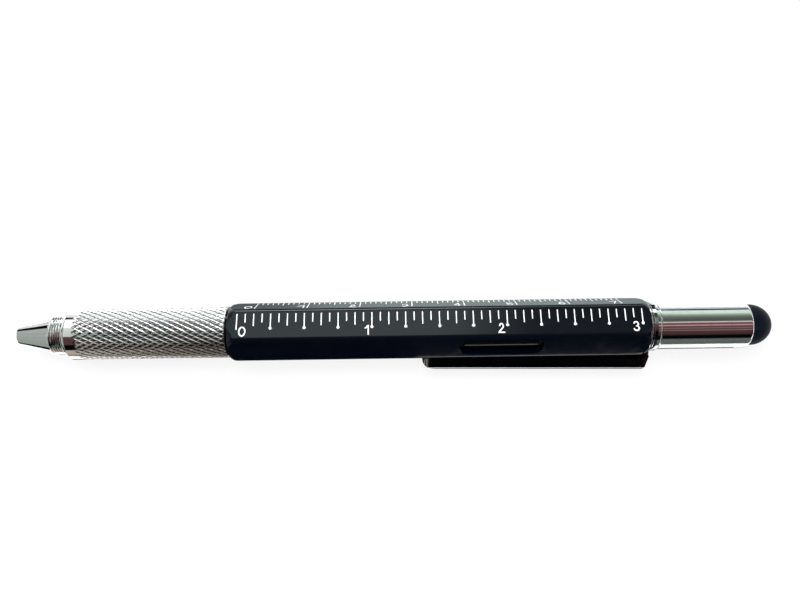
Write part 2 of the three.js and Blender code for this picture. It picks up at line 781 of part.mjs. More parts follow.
// Double-ended bit: flat blade at the front end, cross point at the rear end
function screwdriverBit() {
  const end = bitStart + bitLength;
  const hexCorner = bitAcrossFlats / 2 / Math.cos(Math.PI / 6);
  const taper = hexCorner - bitShankRadius;
  const envelope = turned([
    [bitStart, 0],
    [bitStart, bitShankRadius],
    [bitStart + bitShankLength, bitShankRadius],
    [bitStart + bitShankLength + taper, hexCorner + seatFit],
    [end - bitShankLength - taper, hexCorner + seatFit],
    [end - bitShankLength, bitShankRadius],
    [end - crossConeLength, bitShankRadius],
    [end, crossTipRadius],
    [end, 0],
  ], fineSegments);
  let bit = bodyOf(alongPen(sharpHexagon(bitAcrossFlats / 2), bitStart, end)).intersect(envelope);
  const wedge = polygon([
    [bitStart - overrun, bitBladeThickness / 2],
    [bitStart, bitBladeThickness / 2],
    [bitStart + bitBladeLength, bitShankRadius + seatFit],
    [bitStart + bitBladeLength, 2 * bitShankRadius],
    [bitStart - overrun, 2 * bitShankRadius],
  ]);
  const upperWedge = acrossPen(wedge, 4 * bitShankRadius);
  const lowerWedge = upperWedge.clone().rotateX(Math.PI);
  bit = bit.subtract(bodyOf(upperWedge)).subtract(bodyOf(lowerWedge));
  for (let flute = 0; flute < crossFlutes; flute += 1) {
    bit = bit.subtract(crossFlute(end, (flute + 0.5) * (2 * Math.PI / crossFlutes)));
  }
  return bit;
}

// One V groove of the cross point, deepest at the tip and running out on the shank
function crossFlute(end, direction) {
  const reach = 3 * bitShankRadius;
  const length = 2 * bitShankLength;
  const runOut = Math.atan2(bitShankRadius - crossTipRadius / 2, bitBladeLength);
  const groove = alongPen(polygon([[0, 0], [reach, reach], [-reach, reach]]), -length, length);
  groove.rotateY(runOut);
  groove.translate(end, 0, crossTipRadius / 2);
  groove.rotateX(direction);
  return bodyOf(groove);
}

// Drawn tube that covers the bit, its rear rim rounded in over the stylus tip
function capTube() {
  const rim = [];
  for (let step = 0; step <= rimSteps; step += 1) {
    const angle = (quarterTurn * step) / rimSteps;
    rim.push([capEnd - rimRadius + rimRadius * Math.sin(angle), capRadius - rimRadius + rimRadius * Math.cos(angle)]);
  }
  return turned([
    [capStart, capBoreRadius],
    [capStart, capRadius - capEdge],
    [capStart + capEdge, capRadius],
    ...rim,
    [capEnd, capBoreRadius],
    [capStart, capBoreRadius],
  ], visibleSegments);
}

function capThreadInsert() {
  const start = capStart + runningGap;
  return tube(start, start + insertLength, insertRadius, insertRadius - insertWall);
}

// Plug that closes the cap behind the bit, with the stem that carries the stylus tip
function stylusCore() {
  return turned([
    [coreStart, 0],
    [coreStart, insertRadius],
    [skirtStart, insertRadius],
    [skirtStart, stemRadius],
    [capEnd, stemRadius],
    [capEnd, 0],
  ]);
}

// Hollow rubber dome with a skirt over the stem
function stylusTip() {
  const skirt = skirtStart + seatFit;
  const bore = stemRadius + seatFit;
  const outside = [];
  const inside = [];
  for (let step = 0; step <= domeSteps; step += 1) {
    const angle = (quarterTurn * step) / domeSteps;
    outside.push([domeCentre + domeRadius * Math.sin(angle), domeRadius * Math.cos(angle)]);
    inside.unshift([domeCentre + bore * Math.sin(angle), bore * Math.cos(angle)]);
  }
  return turned([[skirt, bore], [skirt, domeRadius], ...outside, ...inside, [skirt, bore]], visibleSegments);
}

// Angle that brings the clip's lower edge and the barrel's resting edge to one level: the
// common tangent of the two edge circles, seen from the end of the pen
function restingRoll() {
  const clipEdge = new THREE.Vector2(clipRootTop - clipEdgeRadius, clipWidth / 2 - clipEdgeRadius);
  clipEdge.rotateAround(new THREE.Vector2(), clipSide);
  const edgeDistance = barrelCornerRadius - barrelEdgeRadius;
  const barrelEdge = new THREE.Vector2(edgeDistance, 0);
  barrelEdge.rotateAround(new THREE.Vector2(), restingEdge);
  const between = clipEdge.clone().sub(barrelEdge);
  const tilt = Math.acos((barrelEdgeRadius - clipEdgeRadius) / between.length());
  const down = between.angle() + tilt;
  return 3 * quarterTurn - down;
}

const roll = restingRoll();

// Cap, stylus and the thread insert, which screw off together
const cap = new THREE.Group();
cap.add(named('cap_tube', capTube(), finishes.chrome));
cap.add(named('cap_thread_insert', capThreadInsert(), finishes.blackPlastic));
cap.add(named('stylus_core', stylusCore(), finishes.blackPlastic));
cap.add(named('stylus_tip', stylusTip(), finishes.rubber));

// Writing end: the nose screws into the grip, and the cam turns with the grip
const grip = new THREE.Group();
grip.add(named('nose_cone', noseCone(), finishes.chrome));
grip.add(named('grip_sleeve', gripSleeve(), finishes.chrome));
grip.add(named('twist_cam', twistCam(), finishes.whitePlastic));
grip.add(named('cam_snap_ring', camSnapRing(), finishes.steel));

const refill = new THREE.Group();
refill.add(named('refill_carrier', refillCarrier(), finishes.blackPlastic));
refill.add(named('refill_tube', refillTube(), finishes.steel));
refill.add(named('refill_tip', refillTip(), finishes.brass));
refill.add(named('refill_ball', refillBall(), finishes.steel));

// The vial's group stands at the vial's own axis, facing out through the window
const level = new THREE.Group();
level.rotation.x = levelSide - quarterTurn;
level.add(named('level_saddle', levelSaddle(), finishes.blackPlastic));
const vial = new THREE.Group();
vial.position.z = vialAxisHeight;
vial.add(named('level_vial', levelVial(), finishes.acrylic));
vial.add(named('level_plug', levelPlug(), finishes.blackPlastic));
vial.add(named('level_fluid', levelFluid(2 * quarterTurn - levelSide - roll), finishes.levelFluid));
level.add(vial);

const clip = new THREE.Group();
clip.rotation.x = clipSide - quarterTurn;
clip.add(named('clip_ring', clipRing(), finishes.blackNickel));
clip.add(named('clip_blade', clipBlade(), finishes.blackNickel));

const body = new THREE.Group();
body.add(named('barrel', barrel(), finishes.anodised));
body.add(named('twist_guide', twistGuide(), finishes.whitePlastic));
body.add(named('trim_washer', trimWasher(), finishes.chrome));
body.add(named('bit_holder', bitHolder(), finishes.chrome));
body.add(level, clip);

const driver = new THREE.Group();
driver.add(named('screwdriver_bit', screwdriverBit(), finishes.steel));

// The whole pen, rolled onto its resting edges and set on z = 0 about the origin
const pen = new THREE.Group();
pen.add(body, grip, refill, cap, driver);
pen.rotation.x = roll;
pen.updateMatrixWorld(true);
const extent = new THREE.Box3().setFromObject(pen, true);
const middle = extent.getCenter(new THREE.Vector3());
pen.position.set(-middle.x, -middle.y, -extent.min.z);

export default pen;
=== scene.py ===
from math import acos, atan2, cos, degrees, hypot, pi, radians, sin, sqrt

import bmesh
import bpy
from mathutils import Matrix, Vector


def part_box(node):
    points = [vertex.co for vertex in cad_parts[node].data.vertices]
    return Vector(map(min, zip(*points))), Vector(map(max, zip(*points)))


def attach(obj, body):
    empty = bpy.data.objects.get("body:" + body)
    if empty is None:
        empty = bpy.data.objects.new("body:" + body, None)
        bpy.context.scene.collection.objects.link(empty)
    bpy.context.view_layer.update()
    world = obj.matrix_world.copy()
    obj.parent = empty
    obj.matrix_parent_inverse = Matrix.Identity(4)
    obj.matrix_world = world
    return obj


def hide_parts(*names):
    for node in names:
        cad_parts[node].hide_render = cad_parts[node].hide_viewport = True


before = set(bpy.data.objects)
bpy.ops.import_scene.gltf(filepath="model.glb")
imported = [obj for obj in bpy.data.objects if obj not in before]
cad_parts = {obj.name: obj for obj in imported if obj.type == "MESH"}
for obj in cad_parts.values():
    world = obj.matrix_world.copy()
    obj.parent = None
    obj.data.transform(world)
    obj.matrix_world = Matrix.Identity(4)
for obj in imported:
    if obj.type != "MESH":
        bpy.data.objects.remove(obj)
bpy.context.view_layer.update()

# The pen is drawn in its own frame, in millimetres: writing tip at x = 0, axis along +X, angles
# round the axis from +Y towards +Z. penToWorld turns it to its lie on the table, in metres.
noseLow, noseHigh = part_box("nose_cone")
lie = {"roll": -5.8951035, "tip": noseLow.x, "y": (noseLow.y + noseHigh.y) / 2, "z": (noseLow.z + noseHigh.z) / 2}
rollTurn = Matrix.Rotation(radians(lie["roll"]), 4, "X")
penToWorld = Matrix.Translation((lie["tip"], lie["y"], lie["z"])) @ rollTurn @ Matrix.Scale(0.001, 4)
inchSide, levelSide, clipSide, metricSide = 90, 150, 210, 30    # which face of the hexagon, degrees


# small geometry helpers

def arc(centre, radius, fromDegrees, toDegrees, steps):
    turn = (toDegrees - fromDegrees) / steps
    return [(centre[0] + radius * cos(radians(fromDegrees + turn * i)),
             centre[1] + radius * sin(radians(fromDegrees + turn * i))) for i in range(steps + 1)]


def filleted(corners, closed=False, steps=5):
    # each corner is (u, v) or (u, v, radius); a radius rounds it with a smooth curve
    count = len(corners)
    path = []
    for i, corner in enumerate(corners):
        here = Vector(corner[:2])
        radius = corner[2] if len(corner) > 2 else 0
        if not radius or (not closed and i in (0, count - 1)):
            path.append(tuple(here))
            continue
        before = (Vector(corners[i - 1][:2]) - here).normalized()
        after = (Vector(corners[(i + 1) % count][:2]) - here).normalized()
        for step in range(steps + 1):
            share = step / steps
            point = here + before * radius * (1 - share) ** 2 + after * radius * share ** 2
            path.append(tuple(point))
    return path


def ringRows(profile, segments):
    # a turned profile of (station, radius) as rows of points round the axis
    rows = []
    for station, radius in profile:
        if radius < 1e-6:
            rows.append([(station, 0, 0)])
            continue
        rows.append([(station, radius * cos(2 * pi * j / segments), radius * sin(2 * pi * j / segments))
                     for j in range(segments)])
    return rows


def skinRows(rows, closed=True, split=None):
    # quads between neighbouring rows; a row of one point is a pole
    points, starts = [], []
    for row in rows:
        starts.append(len(points))
        points += row
    faces = []
    for i in range(len(rows) if closed else len(rows) - 1):
        k = (i + 1) % len(rows)
        a, b = starts[i], starts[k]
        lengthA, lengthB = len(rows[i]), len(rows[k])
        columns = max(lengthA, lengthB)
        if columns == 1:
            continue
        for j in range(columns):
            n = (j + 1) % columns
            if lengthA == 1:
                faces.append((a, b + n, b + j))
            elif lengthB == 1:
                faces.append((a + j, a + n, b))
            elif split and split(i, j) == "rising":
                faces += [(a + j, a + n, b + n), (a + j, b + n, b + j)]
            elif split and split(i, j) == "falling":
                faces += [(a + j, a + n, b + j), (a + n, b + n, b + j)]
            else:
                faces.append((a + j, a + n, b + n, b + j))
    return points, faces


def prism(outline, start, end, place):
    # a closed outline swept between two distances; place turns (u, v, distance) into a pen point
    count = len(outline)
    points = [place(u, v, start) for u, v in outline] + [place(u, v, end) for u, v in outline]
    faces = [tuple(range(count)), tuple(reversed(range(count, 2 * count)))]
    faces += [(i, (i + 1) % count, count + (i + 1) % count, count + i) for i in range(count)]
    return points, faces


def alongPen(u, v, d):
    # an outline in cross-section, swept along the pen
    return (d, u, v)


def acrossPen(u, v, d):
    # an outline in side view, swept across
    return (u, d, v)


def upThroughPen(u, v, d):
    # an outline seen from above, swept upwards
    return (u, v, d)


def lathe(profile, segments, closed=False):
    return skinRows(ringRows(profile, segments), closed)


def joined(*parts):
    points, faces = [], []
    for partPoints, partFaces in parts:
        first = len(points)
        points += partPoints
        faces += [tuple(first + i for i in face) for face in partFaces]
    return points, faces


def meshOf(name, part, matrix=penToWorld, smoothBelow=32):
    points, faces = part
    mesh = bpy.data.meshes.new(name)
    mesh.from_pydata([matrix @ Vector(p) for p in points], [], faces)
    work = bmesh.new()
    work.from_mesh(mesh)
    bmesh.ops.recalc_face_normals(work, faces=work.faces)
    work.to_mesh(mesh)
    work.free()
    mesh.polygons.foreach_set("use_smooth", [True] * len(mesh.polygons))
    mesh.set_sharp_from_angle(angle=radians(smoothBelow))
    made = bpy.data.objects.new(name, mesh)
    bpy.context.scene.collection.objects.link(made)
    return made


def carve(target, tool, operation="DIFFERENCE", smoothBelow=32):
    # an exact boolean, applied at once; the tool is thrown away
    step = target.modifiers.new("carve", "BOOLEAN")
    step.operation, step.object, step.solver = operation, tool, "EXACT"
    shape = bpy.data.meshes.new_from_object(target.evaluated_get(bpy.context.evaluated_depsgraph_get()))
    target.modifiers.clear()
    target.data = shape
    bpy.data.objects.remove(tool)
    shape.polygons.foreach_set("use_smooth", [True] * len(shape.polygons))
    shape.set_sharp_from_angle(angle=radians(smoothBelow))
    return target


def finishPiece(piece, body, material, stands=(), crisp=False):
    # crisp keeps flat faces flat in shading beside their rounded edges
    piece.data.materials.clear()
    piece.data.materials.append(material)
    if crisp:
        weights = piece.modifiers.new("weights", "WEIGHTED_NORMAL")
        weights.keep_sharp = True
    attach(piece, body)
    if stands:
        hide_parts(*stands)


# shader expressions

class Signal:
    # wraps a socket, so that shader maths reads as ordinary expressions
    def __init__(self, graph, socket):
        self.graph, self.socket = graph, socket

    def maths(self, operation, first, second=None, third=None):
        values = {i: v for i, v in enumerate((first, second, third)) if v is not None}
        return self.graph.node("ShaderNodeMath", {"operation": operation}, values)

    def __add__(self, other): return self.maths("ADD", self, other)
    def __radd__(self, other): return self.maths("ADD", other, self)
    def __sub__(self, other): return self.maths("SUBTRACT", self, other)
    def __rsub__(self, other): return self.maths("SUBTRACT", other, self)
    def __mul__(self, other): return self.maths("MULTIPLY", self, other)
    def __rmul__(self, other): return self.maths("MULTIPLY", other, self)
    def __truediv__(self, other): return self.maths("DIVIDE", self, other)
    def __rtruediv__(self, other): return self.maths("DIVIDE", other, self)
    def __pow__(self, other): return self.maths("POWER", self, other)
    def most(self, other): return self.maths("MAXIMUM", self, other)

    def other(self, output):
        # another output of the same node, by name or number
        return Signal(self.graph, self.socket.node.outputs[output])


class Graph:
    def __init__(self, tree):
        self.tree = tree
        tree.nodes.clear()

    def node(self, kind, settings=None, values=None, output=0):
        # settings are set first, then the values or links of the sockets, by name or number
        made = self.tree.nodes.new(kind)
        for key, value in (settings or {}).items():
            if key == "stops":
                while len(made.color_ramp.elements) < len(value):
                    made.color_ramp.elements.new(1)
                for element, (position, colour) in zip(made.color_ramp.elements, value):
                    element.position, element.color = position, colour
            else:
                setattr(made, key, value)
        for key, value in (values or {}).items():
            if isinstance(value, Signal):
                self.tree.links.new(value.socket, made.inputs[key])
            elif value is not None:
                made.inputs[key].default_value = value
        return Signal(self, made.outputs[output]) if len(made.outputs) else None

    def apart(self, vector):
        x = self.node("ShaderNodeSeparateXYZ", None, {0: vector})
        return x, x.other(1), x.other(2)

    def vector(self, x, y, z):
        return self.node("ShaderNodeCombineXYZ", None, {0: x, 1: y, 2: z})

    def show(self, shader, kind="Material"):
        self.node("ShaderNodeOutput" + kind, None, {"Surface": shader})

    def ramp(self, value, low, high):
        # 0 below low, 1 above high, soft between
        return self.node("ShaderNodeMapRange", {"interpolation_type": "SMOOTHSTEP"},
                         {"Value": value, "From Min": low, "From Max": high})

    def blend(self, share, first, second):
        return self.node("ShaderNodeMix", {"data_type": "RGBA"}, {0: share, 6: tint(first), 7: tint(second)}, 2)

    def noise(self, vector, scale, detail=3, roughness=0.55):
        return self.node("ShaderNodeTexNoise", None,
                         {"Vector": vector, "Scale": scale, "Detail": detail, "Roughness": roughness})

    def bump(self, height, strength, distance=0.00002):
        # distance is the relief's full height in metres
        return self.node("ShaderNodeBump", None, {"Strength": strength, "Distance": distance, "Height": height})


def tint(colour):
    if isinstance(colour, Signal):
        return colour
    return (*colour, 1) if len(colour) == 3 else colour


class Finish(Graph):
    # a material with its pen coordinates in millimetres ready to use
    def __init__(self, name, **fixed):
        self.material = bpy.data.materials.new(name)
        self.material.use_nodes = True
        super().__init__(self.material.node_tree)
        place = self.node("ShaderNodeTexCoord").other("Object")
        self.place = self.node("ShaderNodeMapping", {"vector_type": "TEXTURE"},
                               {"Vector": place, "Location": (0, lie["y"], lie["z"]),
                                "Rotation": (radians(lie["roll"]), 0, 0), "Scale": (0.001, 0.001, 0.001)})
        self.x, self.y, self.z = self.apart(self.place)
        self.fixed = fixed

    def around(self):
        return self.x.maths("ARCTAN2", self.z, self.y)

    def fromAxis(self):
        return (self.y * self.y + self.z * self.z) ** 0.5

    def done(self, **linked):
        named = {"colour": "Base Color", "rough": "Roughness", "metal": "Metallic", "normal": "Normal", "ior": "IOR",
                 "glass": "Transmission Weight", "shine": "Specular IOR Level"}
        values = {named[key]: tint(value) if key == "colour" else value
                  for key, value in {**self.fixed, **linked}.items()}
        self.show(self.node("ShaderNodeBsdfPrincipled", None, values))
        return self.material


def chromePlate(name, colour=(0.83, 0.84, 0.85), rough=0.045, smear=0.07, turning=0.015, thread=None):
    # bright plate with faint turning lines, finger smears and a few dust specks; thread is a
    # thread's start, end, crest and root, where painted shade darkens the threaded band, most at the roots
    look = Finish(name, metal=1)
    lines = look.noise(look.vector(look.x * 9, look.around() * 0.4, 0), 2.2, 4, 0.7)
    smears = look.ramp(look.noise(look.place, 0.35, 4, 0.6), 0.48, 0.72)
    specks = look.ramp(look.noise(look.place, 3.1, 2, 0.5), 0.70, 0.78)
    roughness = rough + lines * 0.03 + smears * smear + specks * 0.12
    tone = look.blend(smears * 0.5 + specks * 0.4, colour, [c * 0.86 for c in colour])
    if thread:
        start, end, crest, root = thread
        # painted shade: the whole threaded band is darkened toward dark grey, most deeply at the thread's roots
        groove = look.ramp(look.fromAxis(), crest, root) * 0.45 + 0.5
        tone = look.blend(groove * look.ramp(look.x, start, start + 0.2) * look.ramp(look.x, end, end - 0.2),
                          tone, (0.09, 0.11, 0.115))
    return look.done(colour=tone, rough=roughness, normal=look.bump(lines, turning))


def knurledChrome(name, crest=4.93, root=4.85):
    # the same plate, dulled and soiled in the grooves between the diamonds
    look = Finish(name, metal=1)
    depth = look.ramp(look.fromAxis(), crest, root)
    grime = look.ramp(look.noise(look.place, 0.8, 5, 0.65), 0.5, 0.75) * depth
    wear = look.noise(look.place, 5.2, 3, 0.6)
    tone = look.blend(grime * 0.3, (0.88, 0.88, 0.89), (0.4, 0.38, 0.37))
    return look.done(colour=tone, rough=0.05 + grime * 0.2 + wear * 0.04,
                     normal=look.bump(wear, 0.08))


def anodisedBlack(name, wearFrom=5.6, wearTo=5.74):
    # smooth blue-black lacquer with faint handling marks, its edges worn a little lighter
    look = Finish(name, shine=0.5)
    grain = look.noise(look.place, 14, 2, 0.6)
    rubbed = look.ramp(look.noise(look.place, 0.5, 4, 0.6), 0.5, 0.75)
    edge = look.ramp(look.fromAxis(), wearFrom, wearTo)
    tone = look.blend(edge * 0.25 + rubbed * 0.2, (0.0006, 0.0014, 0.0042), (0.005, 0.008, 0.012))
    return look.done(colour=tone, rough=0.1 + rubbed * 0.05 + grain * 0.03,
                     normal=look.bump(grain, 0.06))


def printedWhite(name):
    look = Finish(name, shine=0.35)
    uneven = look.noise(look.place, 3.4, 4, 0.65)
    thin = look.ramp(uneven, 0.60, 0.78)
    tone = look.blend(thin * 0.45, (0.86, 0.87, 0.87), (0.52, 0.54, 0.56))
    return look.done(colour=tone, rough=0.42 + uneven * 0.15, normal=look.bump(uneven, 0.15))


def blackPlate(name, colour=(0.34, 0.315, 0.32)):
    look = Finish(name, metal=1)
    drawn = look.noise(look.vector(look.x * 0.2, look.y * 3, look.z * 3), 2.5, 4, 0.6)
    smears = look.ramp(look.noise(look.place, 0.45, 4, 0.6), 0.45, 0.72)
    tone = look.blend(smears * 0.5 + drawn * 0.2, colour, [c * 1.35 for c in colour])
    return look.done(colour=tone, rough=0.06 + smears * 0.08 + drawn * 0.03,
                     normal=look.bump(drawn, 0.05))


def mouldedRubber(name):
    look = Finish(name, shine=0.1)
    skin = look.noise(look.place, 16, 3, 0.6)
    handled = look.ramp(look.noise(look.place, 0.7, 4, 0.6), 0.4, 0.75)
    dust = look.ramp(look.noise(look.place, 6.5, 2, 0.5), 0.68, 0.76)
    tone = look.blend(handled * 0.5 + dust * 0.35, (0.002, 0.004, 0.008), (0.006, 0.010, 0.016))
    return look.done(colour=tone, rough=0.5 + handled * 0.14 + dust * 0.1, normal=look.bump(skin, 0.2, 0.00004))


def plastic(name, colour, rough=0.45):
    look = Finish(name, shine=0.5)
    skin = look.noise(look.place, 9, 3, 0.6)
    flow = look.ramp(look.noise(look.vector(look.x * 0.3, look.y, look.z), 0.7, 4, 0.6), 0.4, 0.7)
    tone = look.blend(flow * 0.4, colour, [c * 0.78 for c in colour])
    return look.done(colour=tone, rough=rough + skin * 0.12, normal=look.bump(skin, 0.1, 0.00003))


def metal(name, colour, rough, lines=9):
    look = Finish(name, metal=1)
    turned = look.noise(look.vector(look.x * lines, look.around() * 0.5, 0), 2, 5, 0.7)
    stain = look.ramp(look.noise(look.place, 0.9, 4, 0.6), 0.45, 0.75)
    tone = look.blend(stain * 0.5, colour, [c * 0.7 for c in colour])
    return look.done(colour=tone, rough=rough + stain * 0.12 + turned * 0.06,
                     normal=look.bump(turned, 0.12, 0.00003))


def blastedSteel(name):
    look = Finish(name, metal=1)
    blast = look.noise(look.place, 18, 3, 0.65)
    rub = look.ramp(look.fromAxis() + look.noise(look.place, 2.2, 3, 0.6) * 0.3, 2.2, 2.42)
    tone = look.blend(rub * 0.7, (0.27, 0.27, 0.28), (0.5, 0.5, 0.51))
    return look.done(colour=tone, rough=0.46 - rub * 0.16 + blast * 0.1, normal=look.bump(blast, 0.35, 0.00004))


def clearTubeInPaintedShade(name):
    look = Finish(name, glass=0.3, ior=1.49, shine=0.12)
    rub = look.ramp(look.noise(look.place, 0.8, 4, 0.6), 0.5, 0.75)
    # painted shade: the clear tube is coloured nearly black, so the window over it reads dark
    tone = look.blend(rub * 0.3, (0.004, 0.006, 0.005), (0.002, 0.003, 0.003))
    return look.done(colour=tone, rough=0.02 + rub * 0.05)


def levelLiquidInPaintedShade(name):
    look = Finish(name, glass=0.2, ior=1.36, shine=0.2)
    cloud = look.noise(look.place, 0.6, 3, 0.5)
    # painted shade: the liquid's green is darkened nearly to black, as the recessed window reads in shade
    tone = look.blend(cloud * 0.5, (0.004, 0.012, 0.006), (0.008, 0.022, 0.010))
    return look.done(colour=tone, rough=0.03 + cloud * 0.03)


chrome = chromePlate("chromePlate")
knurlFinish = knurledChrome("knurledChrome")
barrelFinish = anodisedBlack("blackAnodised")
printFinish = printedWhite("printedWhite")
clipFinish = blackPlate("blackNickel")
rubber = mouldedRubber("mouldedRubber")
blackPlastic = plastic("blackPlastic", (0.016, 0.016, 0.018), 0.5)
whitePlastic = plastic("naturalAcetal", (0.7, 0.7, 0.66), 0.42)
brightSteel = metal("drawnSteel", (0.55, 0.56, 0.58), 0.2, 1)
brass = metal("turnedBrass", (0.66, 0.49, 0.21), 0.2)
toolSteel = blastedSteel("blastedSteel")
acrylic = clearTubeInPaintedShade("clearAcrylic")
liquid = levelLiquidInPaintedShade("levelLiquidInPaintedShade")
print("finishes ready")


# camera

camera = {"focal": 663.5, "imageWidth": 800, "distance": 129.2, "direction": 107.45,
          "yaw": -0.115, "tilt": -0.816, "along": 73.58, "above": 5.755,
          "sensor": 36, "near": 0.005, "far": 20}    # near and far in metres


def placeCamera():
    turn = radians(camera["direction"])
    back = Vector((0, cos(turn), sin(turn)))
    right = Vector((1, 0, 0))
    up = back.cross(right)
    yaw, tilt = radians(camera["yaw"]), radians(camera["tilt"])
    back, right = cos(yaw) * back + sin(yaw) * right, cos(yaw) * right - sin(yaw) * back
    right, up = cos(tilt) * right + sin(tilt) * up, cos(tilt) * up - sin(tilt) * right
    centre = Vector((camera["along"], 0, 0)) + up * camera["above"] + back * camera["distance"]
    data = bpy.data.cameras.new("camera")
    data.sensor_width = camera["sensor"]
    data.lens = camera["focal"] * data.sensor_width / camera["imageWidth"]
    data.clip_start, data.clip_end = camera["near"], camera["far"]
    eye = bpy.data.objects.new("camera", data)
    turned = Matrix((right, up, back)).transposed().to_4x4()
    eye.matrix_world = Matrix.Translation(penToWorld @ centre) @ (rollTurn @ turned)
    bpy.context.scene.collection.objects.link(eye)
    bpy.context.scene.camera = eye


placeCamera()
print("camera placed")


# nose cone: turned, with a rolled thread on its collar

nose = {"tipRadius": 2.0, "tipEdge": 0.22, "cone": 6.7, "coneBase": 3.55, "collar": 4.0, "chamfer": 0.35,
        "end": 9.65, "spigot": 3.2, "spigotEnd": 14.25, "bore": 1.325, "passage": 2.4,
        "threadPitch": 0.46, "threadDepth": 0.13, "threadStart": 7.15, "threadEnd": 9.45, "grooveShare": 0.32,
        "grooveCurve": 0.8, "runOut": 6}


def noseCone(segments=96):
    front = filleted([(0, nose["bore"]), (0, nose["tipRadius"], nose["tipEdge"]),
                      (nose["cone"], nose["coneBase"], 0.05),
                      (nose["cone"] + nose["chamfer"], nose["collar"], 0.08), (nose["threadStart"], nose["collar"])])
    rows = ringRows(front, segments)
    steps = int((nose["threadEnd"] - nose["threadStart"]) / nose["threadPitch"] * 10)
    for i in range(1, steps):
        station = nose["threadStart"] + (nose["threadEnd"] - nose["threadStart"]) * i / steps
        fade = min(1, nose["runOut"] * i / steps, nose["runOut"] * (steps - i) / steps)
        row = []
        for j in range(segments):
            turn = 2 * pi * j / segments
            phase = (station / nose["threadPitch"] + j / segments) % 1
            groove = max(0, 1 - abs(phase - 0.5) / nose["grooveShare"]) ** nose["grooveCurve"]
            radius = nose["collar"] - nose["threadDepth"] * groove * fade
            row.append((station, radius * cos(turn), radius * sin(turn)))
        rows.append(row)
    back = filleted([(nose["threadEnd"], nose["collar"]), (nose["end"], nose["collar"], 0.06),
                     (nose["end"], nose["spigot"]), (nose["spigotEnd"], nose["spigot"], 0.2),
                     (nose["spigotEnd"], nose["passage"]), (nose["cone"], nose["passage"]),
                     (nose["cone"] / 2, nose["bore"])])
    return skinRows(rows + ringRows(back, segments))


# the thread's zone on the collar, where chromePlate paints shade into the thread
threadZone = (nose["threadStart"] - 0.05, nose["threadEnd"] - 0.05, nose["collar"] - 0.01, nose["collar"] - 0.1)
noseFinish = chromePlate("threadedChrome", thread=threadZone)
finishPiece(meshOf("nose_shell", noseCone()), "nose_body", noseFinish, ["nose_cone"], True)


# grip sleeve: diamond knurl between two smooth bands

grip = {"start": 9.65, "end": 40.8, "radius": 4.95, "frontRadius": 4.15, "frontLength": 0.75,
        "knurlStart": 12.25, "knurlEnd": 40.5, "pitch": 1.9, "starts": 32, "depth": 0.1, "perCell": 12,
        "profile": (1, 0.52, 0.08), "spigot": 3.6, "spigotEnd": 45.85, "noseBore": 3.35,
        "land": 0.3, "fadeRows": 4, "noseBoreEnd": 14.35, "passage": 2.375, "seat": 2.95, "seatStart": 34.45}


def gripSleeve():
    per, columns = grip["perCell"], grip["perCell"] * grip["starts"]
    front = filleted([(grip["start"], grip["noseBore"]), (grip["start"], grip["frontRadius"], 0.1),
                      (grip["start"] + grip["frontLength"] / 3, (grip["frontRadius"] + 2 * grip["radius"]) / 3, 0.12),
                      (grip["start"] + grip["frontLength"], grip["radius"], 0.1),
                      (grip["start"] + grip["frontLength"] + grip["land"], grip["radius"]),
                      (grip["knurlStart"] - grip["land"], grip["radius"]),
                      (grip["knurlStart"] - 0.1, grip["radius"])])
    rows = ringRows(front, columns)
    firstKnurl = len(rows)
    step = grip["pitch"] / per
    count = int(round((grip["knurlEnd"] - grip["knurlStart"]) / step))
    step = (grip["knurlEnd"] - grip["knurlStart"]) / count
    profile = grip["profile"]
    for i in range(count + 1):
        station = grip["knurlStart"] + step * i
        fade = min(1, (i + 1) / grip["fadeRows"], (count - i + 1) / grip["fadeRows"])
        row = []
        for j in range(columns):
            nearA = (i + j) % per
            nearB = (i - j) % per
            near = min(nearA, per - nearA, nearB, per - nearB)
            sink = profile[near] if near < len(profile) else 0
            radius = grip["radius"] - grip["depth"] * sink * fade
            turn = 2 * pi * j / columns
            row.append((station, radius * cos(turn), radius * sin(turn)))
        rows.append(row)
    lastKnurl = len(rows) - 1
    back = filleted([(grip["knurlEnd"] + 0.08, grip["radius"] - 0.1), (grip["end"], grip["radius"] - 0.3),
                     (grip["end"], grip["spigot"]), (grip["spigotEnd"], grip["spigot"], 0.2),
                     (grip["spigotEnd"], grip["seat"]), (grip["seatStart"], grip["seat"]),
                     (grip["seatStart"], grip["passage"]), (grip["noseBoreEnd"], grip["passage"]),
                     (grip["noseBoreEnd"], grip["noseBore"])])

    def split(i, j):
        if i < firstKnurl or i >= lastKnurl:
            return None
        row = i - firstKnurl
        nearA = (row + j + 1) % per
        nearB = (row - j) % per
        nearA, nearB = min(nearA, per - nearA), min(nearB, per - nearB)
        return "falling" if nearA < nearB else "rising"

    return skinRows(rows + ringRows(back, columns), split=split)


finishPiece(meshOf("grip_knurl", gripSleeve(), smoothBelow=50), "grip_body", knurlFinish, ["grip_sleeve"])
print("nose and grip built")


# barrel: rounded hexagon, its ends crowned, with the level's window

barrel = {"start": 40.9, "end": 121.0, "flat": 5.093, "edge": 1.0, "bore": 3.75, "endRadius": 4.95,
          "crown": 2.2, "crownSteps": 30, "crownRise": 0.1, "softness": 0.06, "endChamfer": 0.15, "endSlope": 0.8,
          "edgeSteps": 9, "flatSteps": 9}
window = {"start": 84.8, "end": 100.8, "half": 1.975, "chamfer": 0.05, "floor": 2.55,
          "flareWide": 1.6, "flareHigh": 0.6}


